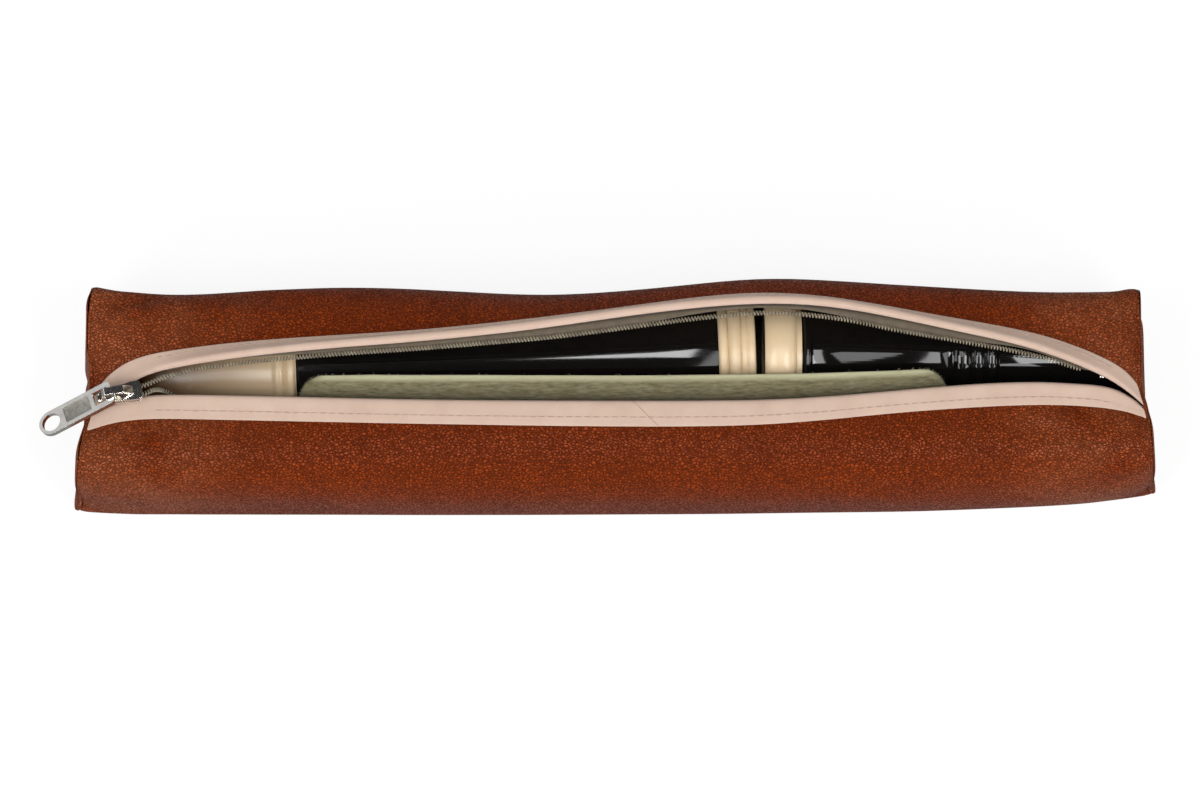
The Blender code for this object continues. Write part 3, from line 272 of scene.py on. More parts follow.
def sees_white(tree):
    """1 for a ray from the camera or through glass."""
    path = tree.nodes.new("ShaderNodeLightPath").outputs
    return calc(tree, "MAXIMUM", path["Is Camera Ray"], path["Is Transmission Ray"])


def is_mirrored(tree):
    """1 for a ray off a shiny surface."""
    return tree.nodes.new("ShaderNodeLightPath").outputs["Is Glossy Ray"]


sky = world.node_tree
sky.nodes.clear()
up = split(sky, sky.nodes.new("ShaderNodeTexCoord").outputs["Generated"])["Z"]
mirrored = level(sky, where(sky, 0.05, 0.6, up), MIRROR_LEVEL, CEILING_LEVEL)
room = between(sky, is_mirrored(sky), WORLD_LEVEL, mirrored)
sky_level = between(sky, sees_white(sky), room, 1.0)
sky_light = add(sky, "ShaderNodeBackground", {"Color": (1, 1, 1, 1), "Strength": sky_level})
add(sky, "ShaderNodeOutputWorld", {"Surface": sky_light.outputs[0]})

floor_shape = bmesh.new()
bmesh.ops.create_grid(floor_shape, x_segments=1, y_segments=1, size=FLOOR_SIZE / 2)
bmesh.ops.translate(floor_shape, verts=floor_shape.verts, vec=(0, 0, -FLOOR_DROP))
floor_mesh = bpy.data.meshes.new("floor")
floor_shape.to_mesh(floor_mesh)
floor_shape.free()
floor = put_in_scene("floor", floor_mesh)
paper = bpy.data.materials.new("white_paper")
paper.use_nodes = True
tree = paper.node_tree
tree.nodes.clear()
card = add(tree, "ShaderNodeBsdfDiffuse", {"Color": (0.92, 0.92, 0.92, 1)})
white = sees_white(tree)
strength = between(tree, white, MIRROR_LEVEL, 1.0)
glow = add(tree, "ShaderNodeEmission", {"Color": (1, 1, 1, 1), "Strength": strength})
share = calc(tree, "MAXIMUM", calc(tree, "MULTIPLY", white, WHITE_SHARE), is_mirrored(tree))
both = add(tree, "ShaderNodeMixShader", {0: share, 1: card.outputs[0], 2: glow.outputs[0]})
add(tree, "ShaderNodeOutputMaterial", {"Surface": both.outputs[0]})
floor_mesh.materials.append(paper)
floor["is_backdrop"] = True

# %% [markdown]
# ## Shared effects
#
# Three effects come back in several finishes. Mottle is a soft change between two colours, as in
# dyed hide, felt and moulded plastic. Pebble is a grain of small rounded cells, as on leathercloth
# and on the rough panel of the zip's tab. Weave is the over and under of threads in a tape or cloth,
# laid out along the piece by its own "cloth" attribute.

# %% Mottle group
mottle, inside, out = new_group(
    "mottle",
    {"Vector": (VECTOR, (0, 0, 0)), "Scale": (FLOAT, 100.0), "Sharpness": (FLOAT, 1.0),
     "Light": (COLOR, (1, 1, 1, 1)), "Dark": (COLOR, (0, 0, 0, 1))},
    {"Color": COLOR, "Amount": FLOAT})
cloud = add(mottle, "ShaderNodeTexNoise", {"Vector": inside["Vector"], "Scale": inside["Scale"],
                                           "Detail": 5.0, "Roughness": 0.6})
centred = calc(mottle, "SUBTRACT", cloud.outputs["Fac"], 0.5)
spread = calc(mottle, "MULTIPLY_ADD", centred, inside["Sharpness"], 0.5, use_clamp=True)
feed(mottle, out, Color=blended(mottle, spread, inside["Light"], inside["Dark"]), Amount=spread)

# %% Pebble group
CELL_WOBBLE = 0.0009
pebble, inside, out = new_group(
    "pebble",
    {"Vector": (VECTOR, (0, 0, 0)), "Scale": (FLOAT, 1200.0), "Roughness": (FLOAT, 0.25)},
    {"Height": FLOAT, "Valley": FLOAT})
wobble = add(pebble, "ShaderNodeTexNoise", {"Vector": inside["Vector"], "Scale": inside["Scale"],
                                            "Detail": 3.0})
shifted = add(pebble, "ShaderNodeVectorMath",
              {0: wobble.outputs["Color"], 1: (CELL_WOBBLE,) * 3, 2: inside["Vector"]},
              operation="MULTIPLY_ADD")
cells = add(pebble, "ShaderNodeTexVoronoi", {"Vector": shifted.outputs[0], "Scale": inside["Scale"]},
            feature="DISTANCE_TO_EDGE")
rise = where(pebble, 0.0, 0.28, cells.outputs["Distance"])
fine = calc(pebble, "MULTIPLY_ADD", wobble.outputs["Fac"], inside["Roughness"], rise)
top = where(pebble, 0.0, 0.3, cells.outputs["Distance"])
feed(pebble, out, Height=fine, Valley=calc(pebble, "SUBTRACT", 1.0, top))

# %% Weave group
weave, inside, out = new_group(
    "weave",
    {"Cloth": (VECTOR, (0, 0, 0)), "Run Pitch": (FLOAT, 0.0004), "Across Pitch": (FLOAT, 0.0004)},
    {"Height": FLOAT, "Gap": FLOAT})
flat = split(weave, inside["Cloth"])


def ripple(tree, place, pitch):
    """A wave from -1 to 1 that repeats every pitch."""
    turns = calc(tree, "DIVIDE", place, pitch)
    return calc(tree, "SINE", calc(tree, "MULTIPLY", turns, math.tau))


warp = ripple(weave, flat["X"], inside["Run Pitch"])
weft = ripple(weave, flat["Y"], inside["Across Pitch"])
over = calc(weave, "MULTIPLY", warp, weft)
height = add(weave, "ShaderNodeMapRange", {"Value": over, "From Min": -1.0})
gap = add(weave, "ShaderNodeMapRange", {"Value": over, "From Min": -0.2, "From Max": -1.0})
feed(weave, out, Height=height.outputs[0], Gap=gap.outputs[0])
print("shared effects:", [g.name for g in bpy.data.node_groups])


# %% [markdown]
# ## Finishes
#
# Every finish starts from the Principled shader. Colours are read from the photograph. Numbers that
# are the same all over sit on the shader's own sockets, and what changes over the surface, such as
# colour, roughness and bump, comes through nodes.


# %% Material helpers
def new_material(name, **values):
    """A Principled material. Returns the material, its tree and its shader."""
    mat = bpy.data.materials.new(name)
    mat.use_nodes = True
    shader = mat.node_tree.nodes["Principled BSDF"]
    for key, value in values.items():
        shader.inputs[key.replace("_", " ")].default_value = value
    return mat, mat.node_tree, shader


def object_place(tree):
    """The place on the piece, in metres."""
    return tree.nodes.new("ShaderNodeTexCoord").outputs["Object"]


def cloth_place(tree):
    """The piece's own cloth attribute: distance along it, across it, and from a join in it."""
    return add(tree, "ShaderNodeAttribute", attribute_name="cloth").outputs["Vector"]


def mottled(tree, scale, sharpness, light=(255, 255, 255), dark=(0, 0, 0), place=None):
    """The mottle between two colours in 0 to 255. Returns its outputs."""
    return place_group(tree, mottle, {"Vector": object_place(tree) if place is None else place,
                                      "Scale": scale, "Sharpness": sharpness,
                                      "Light": srgb(*light), "Dark": srgb(*dark)})


def bump(tree, shader, height, distance, strength=1.0):
    """Makes the surface look raised, where the height is 1 by the distance in metres."""
    item = add(tree, "ShaderNodeBump", {"Height": height, "Distance": distance, "Strength": strength})
    feed(tree, shader, Normal=item.outputs[0])


def shade(tree, color, value, dark):
    """A colour, darkened towards a share of itself where the value is 1."""
    return blended(tree, value, color, blended(tree, 1.0, color, dark, "MULTIPLY"))


def mottled_finish(name, mottling, rough, **values):
    """A mottled material whose roughness goes from one level to another with the mottle."""
    mat, tree, shader = new_material(name, **values)
    spots = mottled(tree, *mottling)
    feed(tree, shader, Base_Color=spots["Color"], Roughness=level(tree, spots["Amount"], *rough))
    return mat


# %% Leathercloth
# Pebbled, with darker valleys and a mottled dye, and painted highlights of sheen in pale patches near the
# case's ends
HIDE_GRAIN = 1400.0
PAINTED_HIGHLIGHT_FROM, PAINTED_HIGHLIGHT_TO = 0.085, 0.155

hide, tree, shader = new_material("pebbled_leathercloth", Specular_IOR_Level=0.2, Coat_Roughness=0.3,
                                  Specular_Tint=(1.0, 0.7, 0.42, 1.0))
place = object_place(tree)
long_grain = add(tree, "ShaderNodeMapping", {"Vector": place, "Scale": (0.72, 1.0, 1.0)}).outputs[0]
grain = place_group(tree, pebble, {"Vector": long_grain, "Scale": HIDE_GRAIN, "Roughness": 0.35})
dye = mottled(tree, 45.0, 1.6, (166, 65, 4), (143, 53, 3))
speck = mottled(tree, 1500.0, 2.4, (255, 255, 255), (172, 159, 146))
worn = blended(tree, 1.0, dye["Color"], speck["Color"], "MULTIPLY")
from_middle = calc(tree, "ABSOLUTE", split(tree, place)["X"])
# Painted highlight: patches near the ends are lightened in place of the sheen there
painted_highlight = calc(tree, "MULTIPLY", where(tree, PAINTED_HIGHLIGHT_FROM, PAINTED_HIGHLIGHT_TO, from_middle),
              mottled(tree, 50.0, 3.0)["Amount"])
dye_with_painted_highlight = blended(tree, level(tree, painted_highlight, 0.0, 0.34), worn, srgb(206, 132, 92))
feed(tree, shader, Base_Color=shade(tree, dye_with_painted_highlight, grain["Valley"], (0.34, 0.28, 0.22, 1)),
     Roughness=level(tree, grain["Valley"], 0.32, 0.7),
     Coat_Weight=level(tree, grain["Valley"], 0.2, -0.15))
bump(tree, shader, grain["Height"], 0.00028)

# %% Lining, binding and thread
lining, tree, shader = new_material("woven_lining", Roughness=0.85)
threads = mottled(tree, 900.0, 2.0, (96, 84, 62), (62, 52, 36))
feed(tree, shader, Base_Color=threads["Color"])
bump(tree, shader, threads["Amount"], 0.0001, 0.5)

binding_cloth, tree, shader = new_material("bias_binding_cloth", Roughness=0.85, Sheen_Weight=0.1,
                                           Specular_IOR_Level=0.25)
twill = place_group(tree, weave, {"Cloth": cloth_place(tree), "Run Pitch": 0.00056,
                                  "Across Pitch": 0.00056})
tint = mottled(tree, 130.0, 1.6, (191, 167, 152), (179, 154, 138))
woven_tint = shade(tree, tint["Color"], twill["Gap"], (0.9, 0.87, 0.84, 1))
from_join_line = calc(tree, "ABSOLUTE", split(tree, cloth_place(tree))["Z"])
off_join = where(tree, 0.00005, 0.0002, from_join_line)
join_line = calc(tree, "SUBTRACT", 1.0, off_join)
feed(tree, shader, Base_Color=shade(tree, woven_tint, join_line, (0.8, 0.75, 0.7, 1)))
bump(tree, shader, calc(tree, "MULTIPLY_ADD", off_join, 4.0, twill["Height"]), 0.00004, 0.6)

thread_finish, tree, shader = new_material("beige_thread", Roughness=0.7, Sheen_Weight=0.3)
feed(tree, shader, Base_Color=mottled(tree, 1500.0, 2.0, (182, 156, 140), (156, 131, 114))["Color"])

# %% Zip tape and nylon coil
tape_cloth, tree, shader = new_material("zip_tape_cloth", Roughness=0.78, Sheen_Weight=0.2)
ribs = place_group(tree, weave, {"Cloth": cloth_place(tree), "Run Pitch": 0.0007,
                                 "Across Pitch": 0.00055})
olive = mottled(tree, 500.0, 1.5, (100, 89, 72), (74, 64, 50))
feed(tree, shader, Base_Color=shade(tree, olive["Color"], ribs["Gap"], (0.5, 0.48, 0.45, 1)))
bump(tree, shader, ribs["Height"], 0.00008, 0.8)

nylon = mottled_finish("nylon_coil", (350.0, 2.0, (152, 142, 122), (90, 81, 65)), (0.22, 0.36),
                       Specular_IOR_Level=0.6)

# %% Nickel
nickel = mottled_finish("nickel_plate", (260.0, 1.8, (236, 234, 230), (212, 209, 203)), (0.07, 0.15),
                        Metallic=1.0)

sunk_nickel, tree, shader = new_material("sunk_nickel_panel", Metallic=0.85)
pits = place_group(tree, pebble, {"Vector": object_place(tree), "Scale": 3200.0, "Roughness": 0.6})
dusk = mottled(tree, 900.0, 2.0, (196, 191, 184), (150, 145, 138))
feed(tree, shader, Base_Color=dusk["Color"], Roughness=level(tree, pits["Valley"], 0.4, 0.6))
bump(tree, shader, pits["Height"], 0.00006, 0.6)

# %% Felt
# Its top edge carries a painted highlight, paler between these two heights
PAINTED_EDGE_LIGHT_FROM, PAINTED_EDGE_LIGHT_TO = 0.0352, 0.0366
felt_finish, tree, shader = new_material("green_felt", Roughness=0.95, Sheen_Weight=0.25,
                                         Specular_IOR_Level=0.15)
place = object_place(tree)
combed = add(tree, "ShaderNodeMapping", {"Vector": place, "Scale": (0.22, 1.0, 1.0)}).outputs[0]
wool = mottled(tree, 1500.0, 2.4, (129, 124, 98), (84, 79, 58), combed)
stain = mottled(tree, 110.0, 2.0, (255, 255, 255), (232, 224, 205))
patchy = blended(tree, 1.0, wool["Color"], stain["Color"], "MULTIPLY")
# Painted highlight along the felt's top edge
painted_highlight = where(tree, PAINTED_EDGE_LIGHT_FROM, PAINTED_EDGE_LIGHT_TO, split(tree, place)["Z"])
feed(tree, shader, Base_Color=blended(tree, painted_highlight, patchy, srgb(172, 170, 138)))
fibres = add(tree, "ShaderNodeTexNoise", {"Vector": combed, "Scale": 2600.0, "Detail": 6.0,
                                          "Roughness": 0.7, "Distortion": 1.2})
bump(tree, shader, fibres.outputs["Fac"], 0.0003, 0.8)

# %% Plastics
# Painted shade: the ivory darkens towards the beak's tip, between these two places along the case
PAINTED_SHADE_FROM, PAINTED_SHADE_TO = -0.077, -0.137
ivory, tree, shader = new_material("ivory_plastic", Specular_IOR_Level=0.5, Subsurface_Weight=0.15,
                                   Subsurface_Radius=(0.0012, 0.0008, 0.0005), Subsurface_Scale=1.0)
cream = mottled(tree, 45.0, 1.4, (217, 194, 160), (206, 181, 145))
along_case = split(tree, object_place(tree))["X"]
# Painted shade over the beak's tip
painted_shade = add(tree, "ShaderNodeMapRange", {"Value": along_case, "From Min": PAINTED_SHADE_FROM, "From Max": PAINTED_SHADE_TO})
feed(tree, shader, Base_Color=shade(tree, cream["Color"], painted_shade.outputs[0], (0.08, 0.03, 0.005, 1)),
     Roughness=level(tree, cream["Amount"], 0.2, 0.3))

black = mottled_finish("black_plastic", (300.0, 2.0, (17, 15, 14), (11, 10, 9)), (0.04, 0.075),
                       Specular_IOR_Level=0.55)
FINISHES = (hide, lining, binding_cloth, thread_finish, tape_cloth, nylon, nickel, sunk_nickel,
            felt_finish, ivory, black)
print("finishes:", [finish.name for finish in FINISHES])

# %% [markdown]
# ## Shaping helpers
#
# A CAD node arrives as loose triangles. Merging its doubles and joining the triangles in pairs gives
# back clean quads, which a Subdivision Surface rounds into cloth. Other helpers turn a bmesh into a
# finished piece, bake a modifier into its mesh, and read a centre line off a long thin node.

# %% Shaping helpers
MERGE = 0.000002
SHARP = math.radians(38)
CURVE_STEPS = 16


def node_shape(node):
    """A bmesh of a CAD node's own shape, in quads where its triangles pair up."""
    shape = bmesh.new()
    shape.from_mesh(nodes[node].data)
    bmesh.ops.remove_doubles(shape, verts=shape.verts, dist=MERGE)
    bmesh.ops.recalc_face_normals(shape, faces=shape.faces)
    bmesh.ops.join_triangles(shape, faces=shape.faces, angle_face_threshold=math.radians(70),
                             angle_shape_threshold=math.radians(100))
    return shape


def piece(name, shape, finish, sharp=SHARP):
    """A new object from a bmesh, smooth but for its sharp edges."""
    mesh = bpy.data.meshes.new(name)
    shape.to_mesh(mesh)
    shape.free()
    mesh.materials.append(finish)
    mesh.shade_smooth()
    mesh.set_sharp_from_angle(angle=sharp)
    return put_in_scene(name, mesh)


def baked(obj):
    """The object with its modifiers turned into plain mesh."""
    bpy.context.view_layer.update()
    done = bpy.data.meshes.new_from_object(obj.evaluated_get(bpy.context.evaluated_depsgraph_get()))
    old = obj.data
    obj.modifiers.clear()
    obj.data = done
    bpy.data.meshes.remove(old)
    return obj


def rounded(obj, levels):
    """Adds a Subdivision Surface of the same level in the view and the render."""
    soft = obj.modifiers.new("round", "SUBSURF")
    soft.levels = levels
    soft.render_levels = levels
    return obj


def cloth_piece(name, shape, finish):
    """A piece without sharp edges, its shape taken as a cage and rounded in two steps."""
    return baked(rounded(piece(name, shape, finish, sharp=math.pi), 2))


def bevelled(obj, width):
    """Breaks the sharp edges with a narrow bevel, width in mm."""
    edge = obj.modifiers.new("edges", "BEVEL")
    edge.width = width * MM
    edge.segments = 2
    edge.limit_method = "ANGLE"
    edge.angle_limit = math.radians(30)
    edge.harden_normals = True
    return obj


def centre_line(node, ring):
    """The middle of each section of a long thin node whose sections have ring points each."""
    shape = node_shape(node)
    places = sorted((v.co.copy() for v in shape.verts), key=lambda p: p.x)
    shape.free()
    groups = [places[i:i + ring] for i in range(0, len(places) - ring + 1, ring)]
    return [sum(group, Vector()) / ring for group in groups]


def eased(points):
    """The points pulled in as a Subdivision Surface pulls in its cage."""
    inner = [(a + 4 * b + c) / 6 for a, b, c in zip(points, points[1:], points[2:])]
    return [points[0]] + inner + [points[-1]]


def even_line(points, step):
    """Points at an even step along a smooth curve through the given ones."""
    dense = []
    for i in range(len(points) - 1):
        p0, p1, p2 = points[max(i - 1, 0)], points[i], points[i + 1]
        p3 = points[min(i + 2, len(points) - 1)]
        for k in range(CURVE_STEPS):
            t = k / CURVE_STEPS
            dense.append(0.5 * (2 * p1 + (p2 - p0) * t + (2 * p0 - 5 * p1 + 4 * p2 - p3) * t * t
                                + (3 * p1 - p0 - 3 * p2 + p3) * t**3))
    dense.append(points[-1])
    line, rest = [dense[0]], step
    for a, b in zip(dense, dense[1:]):
        length = (b - a).length
        at = rest
        while at <= length:
            line.append(a + (b - a) * (at / length))
            at += step
        rest = at - length
    return line


def line_solid(name, runs, radius, finish, sides=0):
    """A mesh of round lines, one for each run of points."""
    curve = bpy.data.curves.new(name, "CURVE")
    curve.dimensions = "3D"
    curve.bevel_depth = radius * MM
    curve.bevel_resolution = sides
    curve.use_fill_caps = True
    for run in runs:
        spline = curve.splines.new("POLY")
        spline.points.add(len(run) - 1)
        for point, place in zip(spline.points, run):
            point.co = (*place, 1.0)
    holder = bpy.data.objects.new(name, curve)
    mesh = bpy.data.meshes.new_from_object(holder)
    mesh.name = name
    bpy.data.objects.remove(holder)
    bpy.data.curves.remove(curve)
    mesh.materials.clear()
    mesh.materials.append(finish)
    mesh.shade_smooth()
    return put_in_scene(name, mesh)


def lay_cloth(obj, line, beside_join=None):
    """Stores each point's distance along a line, its distance from the line, and from any join."""
    lengths = [0.0]
    for a, b in zip(line, line[1:]):
        lengths.append(lengths[-1] + (b - a).length)
    xs = [p.x for p in line[1:-1]]
    cloth = obj.data.attributes.new("cloth", "FLOAT_VECTOR", "POINT")
    for index, vertex in enumerate(obj.data.vertices):
        k = bisect_right(xs, vertex.co.x)
        a, b = line[k], line[k + 1]
        t = (vertex.co.x - a.x) / max(b.x - a.x, 1e-9)
        foot = a.lerp(b, t)
        away = vertex.co - foot
        side = math.copysign(away.length, away.y)
        join = beside_join(vertex.co) if beside_join else 1.0
        cloth.data[index].vector = (lengths[k] + (b - a).length * t, side, join)


# %% [markdown]
# ## The case's panels
#
# One piece of leathercloth wraps round the front, the bottom and the rear, and a soft panel closes
# each end. Real leathercloth isn't flat: it waves a little, and it creases where the ends are sewn
# in. The wrap is a subdivided copy of its CAD node, and each crease is a line along which the points
# sink. Its inner side gets the lining's finish.

# %% Wrap panel
# The case ends BOTTOM_END from its middle at the bottom and END_LEAN nearer at the top. Behind its
# front wall the ends are set in by SET_IN at the bottom already. Outwards is away from CORE_HEIGHT
CASE_HEIGHT = 38.0
BOTTOM_END = 155.8
END_LEAN = 6.2
SET_IN = 2.6
CORE_HEIGHT = 15.0
WAVE = 0.25
WAVE_SIZE = 34.0
# The waves die down over this much below the lips and above the bottom
CALM_TOP, CALM_BOTTOM = 8.0, 6.0
# How far the front corners belly out, and how far before the middle that starts, left and right
LEFT_BELLY, RIGHT_BELLY = (2.9, 5.0), (2.7, -2.0)
REAR_BELLY = 1.2
BOTTOM_TUCK = 1.5
# How deep the cloth sinks towards a seam, and how far from it that starts
ROUND_OVER, SEAM_DIP = (1.9, 20), (0.8, 3.5)
# A crease's raised shoulder: its share of the depth, its distance in widths, and how steep it is
SHOULDER, SHOULDER_AT, SHOULDER_STEEP = 0.45, 1.7, 1.6
# A face that looks inwards by more than this share is on the lining's side
INWARDS = 0.3
# Each crease runs between two points: X, Y, Z of both, then its width and its depth
CREASES = (
    ((112.0, -11.5, 35.3), (150.0, -15.5, 33.0), 2.4, 1.3),
    ((104.0, -21.0, 31.0), (148.0, -24.0, 27.0), 3.0, 0.9),
    ((-149.0, -20.0, 30.0), (-131.0, -12.5, 34.5), 2.8, 1.5),
    ((-150.0, -25.0, 26.0), (-132.0, -28.0, 20.0), 2.2, 0.8),
    ((-150.0, 24.0, 37.5), (-128.0, 26.0, 36.0), 2.4, 0.9),
    ((-110.0, 26.0, 37.0), (-84.0, 21.5, 40.5), 2.6, 0.7),
    ((134.0, 16.0, 37.5), (148.0, 25.0, 37.0), 2.6, 0.9),
    ((64.0, -26.0, 33.0), (82.0, -29.5, 27.0), 3.0, 0.6),
)


def grow(value, start, end):
    """0 up to the start, 1 from the end on, and a smooth change between."""
    t = max(0.0, min(1.0, (value - start) / (end - start)))
    return t * t * (3 - 2 * t)


def seam_at(y, z):
    """How far from the middle the case ends, at a depth and a height in mm, as its CAD has it."""
    set_in = SET_IN * grow(y, -26, -6)
    return BOTTOM_END - set_in - (END_LEAN - set_in) * z / CASE_HEIGHT


def soft_end(place):
    """Where a point goes as the ends round over and their front corners belly out."""
    x, y, z = place / MM
    most, late = LEFT_BELLY if x < 0 else RIGHT_BELLY
    belly = most * grow(abs(x), 118, 150) * grow(-y, late, late + 16) * grow(z, 2, 32)
    belly -= BOTTOM_TUCK * grow(abs(x), 140, 155) * (1 - grow(z, 0, 7))
    if x < 0:
        belly += REAR_BELLY * grow(-x, 138, 150) * grow(y, 6, 14) * (1 - grow(y, 25, 30))
    gap = max(0.0, seam_at(y, z) - abs(x))
    sink = sum(deep * max(0.0, 1 - gap / far) ** 2 for deep, far in (ROUND_OVER, SEAM_DIP))
    sink *= 1 - 0.8 * grow(y, 21, 28)
    out = Vector((0, y, z - CORE_HEIGHT))
    sink *= min(1.0, max(0.0, z / 6)) * min(1.0, out.length / 14)
    return place + (Vector((math.copysign(belly, x), 0, 0)) - out.normalized() * sink) * MM


def crease_drop(place):
    """How far a point sinks, in mm, from all the creases near it."""
    drop = 0.0
    for start, end, width, depth in CREASES:
        a, b = Vector(start) * MM, Vector(end) * MM
        along = max(0.0, min(1.0, (place - a).dot(b - a) / (b - a).length_squared))
        gap = (place - a.lerp(b, along)).length / MM / width
        if gap < 3:
            taper = math.sin(math.pi * (0.08 + 0.84 * along))
            shoulder = SHOULDER * math.exp(-(gap - SHOULDER_AT) ** 2 * SHOULDER_STEEP)
            drop += depth * taper * (math.exp(-gap * gap) - shoulder)
    return drop


def make_wavy(obj):
    """Moves a cloth piece's points by its waves and its creases, and rounds its ends."""
    for vertex in obj.data.vertices:
        place = vertex.co
        out = Vector((0, place.y, place.z - CORE_HEIGHT * MM)).normalized()
        calm = min(1.0, max(0.0, (CASE_HEIGHT * MM - place.z) / (CALM_TOP * MM)))
        calm *= min(1.0, place.z / (CALM_BOTTOM * MM))
        swell = noise.noise(place / (WAVE_SIZE * MM)) * WAVE * calm
        vertex.co = soft_end(place + out * (swell - crease_drop(place)) * MM)


wrap = cloth_piece("case_wrap", node_shape("wrap_panel"), hide)
wrap.data.materials.append(lining)
for face in wrap.data.polygons:
    inwards = Vector((0, -face.center.y, CASE_HEIGHT / 2 * MM - face.center.z)).normalized()
    face.material_index = 1 if face.normal.dot(inwards) > INWARDS else 0
make_wavy(wrap)
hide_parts("wrap_panel")
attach(wrap, "case")
print("wrap:", len(wrap.data.polygons), "faces")

# %% End panels
for side in ("left", "right"):
    end = cloth_piece("case_end_" + side, node_shape("end_panel_" + side), hide)
    for vertex in end.data.vertices:
        vertex.co = soft_end(vertex.co)
    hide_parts("end_panel_" + side)
    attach(end, "case")

# %% [markdown]
# ## End seams
#
# Each end panel is sewn to the wrap inside out and then turned, which leaves a rounded roll of
# leathercloth along the seam. The end panel's CAD node gives the seam's line: its innermost ring.
# Sorting that ring's points by their angle round its middle puts them in order, and a round line
# through them, set half into the case, is the roll.

# %% End seams
WELT_RADIUS = 0.5
WELT_SUNK = 0.42
# The ring lies this far outside the seam's place, give or take the slack, and round the hub
RING_OFFSET, RING_SLACK = 0.3, 0.03
HUB_HEIGHT, HUB_RADIUS = 17, 8


def seam_ring(side):
    """The points of one end panel's seam, in order round the end, in metres."""
    shape = node_shape("end_panel_" + side)
    ring = []
    for corner in shape.verts:
        x, y, z = corner.co / MM
        if abs(abs(x) - seam_at(y, z) - RING_OFFSET) < RING_SLACK:
            ring.append(corner.co.copy())
    shape.free()
    hub = Vector((0, sum(p.y for p in ring) / len(ring), HUB_HEIGHT * MM))
    ring = [p for p in ring if math.hypot(p.y - hub.y, p.z - hub.z) > HUB_RADIUS * MM]
    ring.sort(key=lambda p: math.atan2(p.z - hub.z, p.y - hub.y))
    inwards = [Vector((-math.copysign(RING_OFFSET, p.x) * MM, 0, 0))
               + Vector((0, hub.y - p.y, hub.z - p.z)).normalized() * WELT_SUNK * MM for p in ring]
    ring = [soft_end(p + step) for p, step in zip(ring, inwards)]
    return [(ring[k - 1] + 4 * p + ring[(k + 1) % len(ring)]) / 6 for k, p in enumerate(ring)]


for side in ("left", "right"):
    ring = seam_ring(side)
    closed = ring + [ring[0]]
    welt = line_solid("end_welt_" + side, [even_line(closed, 0.8 * MM)], WELT_RADIUS, hide, 3)
    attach(welt, "case")
    print("welt", side, "through", len(ring), "points")

# %% [markdown]
# ## Binding and stitches
#
# A strip of beige cloth is folded over each lip and sewn down with one line of lockstitch. The strip
# is a rounded copy of its CAD node. Each stitch is a short fat lozenge of thread, sunk a little at
# both ends, and there is one every 2.6 mm along the line that the CAD gives.

# %% Bindings
STITCH_PITCH = 2.6
STITCH_LENGTH = 2.1
STITCH_RADIUS = 0.22
# A stitch's height and how far its middle stands off the cloth, as shares of its radius
STITCH_FLAT, STITCH_LIFT = 0.7, 0.25

JOIN_TOP = Vector((4.6, -3.9, 0)) * MM
JOIN_BOTTOM = Vector((12.4, -11.8, 0)) * MM
join_across = (JOIN_BOTTOM - JOIN_TOP).cross(Vector((0, 0, 1))).normalized()


def from_join(place):
    """Distance from the slanting seam where the front strip's two lengths of cloth are joined."""
    return (place - JOIN_TOP).dot(join_across)


stitch_lines = {}
bindings = {}
for side in ("front", "rear"):
    line = even_line(eased(centre_line("stitching_" + side, 4)), 1.0 * MM)
    stitch_lines[side] = line
    strip = cloth_piece("binding_cloth_" + side, node_shape("binding_" + side), binding_cloth)
    for vertex in strip.data.vertices:
        vertex.co = soft_end(vertex.co)
    lay_cloth(strip, line, from_join if side == "front" else None)
    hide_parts("binding_" + side)
    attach(strip, "case")
    bindings[side] = strip
    print("binding", side, len(strip.data.polygons), "faces, sewn over", round(len(line) * MM, 3), "m")


# %% Stitches
def stitch_row(name, side):
    """One lozenge of thread for every stitch, resting on its binding."""
    surface = BVHTree.FromObject(bindings[side], bpy.context.evaluated_depsgraph_get())
    line = even_line(stitch_lines[side], STITCH_PITCH * MM)
    row = bmesh.new()
    for a, b in zip(line, line[1:]):
        middle = (a + b) / 2
        spot, normal, _, _ = surface.find_nearest(middle)
        ahead = (b - a).normalized()
        sideways = normal.cross(ahead).normalized()
        up = ahead.cross(sideways)
        turn = Matrix((ahead, sideways, up)).transposed().to_4x4()
        stretch = Matrix.Diagonal((STITCH_LENGTH / 2 * MM, STITCH_RADIUS * MM,
                                   STITCH_RADIUS * STITCH_FLAT * MM, 1))
        place = Matrix.Translation(spot + up * STITCH_RADIUS * STITCH_LIFT * MM)
        bmesh.ops.create_uvsphere(row, u_segments=8, v_segments=5, radius=1.0,
                                  matrix=place @ turn @ stretch)
    return piece(name, row, thread_finish, sharp=math.pi)


for side in ("front", "rear"):
    row = stitch_row("lockstitch_" + side, side)
    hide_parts("stitching_" + side)
    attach(row, "case")

# %% [markdown]
# ## Zip tape and coil
#
# The tape is woven, and its weave follows the zip. The rear tape's edge runs on under its coil, so the
# points near the coil move there. The teeth of this kind of zip are the turns of one nylon line wound
# into a flat coil, which is sewn to the tape's edge. A coil is a helix: a loop works out its points
# from the centre line and a turn angle, and a curve with a round bevel makes the line solid.

# %% Tapes
COIL_REACH = 1.32
UNDER_COIL = Vector((0, -1.45, -1.3)) * MM
coil_lines = {side: eased(centre_line("zip_coil_" + side, 6)) for side in ("front", "rear")}


def coil_at(side, x):
    """The coil's centre at one place along the case."""
    line = coil_lines[side]
    k = min(range(len(line)), key=lambda i: abs(line[i].x - x))
    if x < line[k].x and k > 0:
        k -= 1
    a, b = line[k], line[min(k + 1, len(line) - 1)]
    return a.lerp(b, (x - a.x) / max(b.x - a.x, 1e-9))


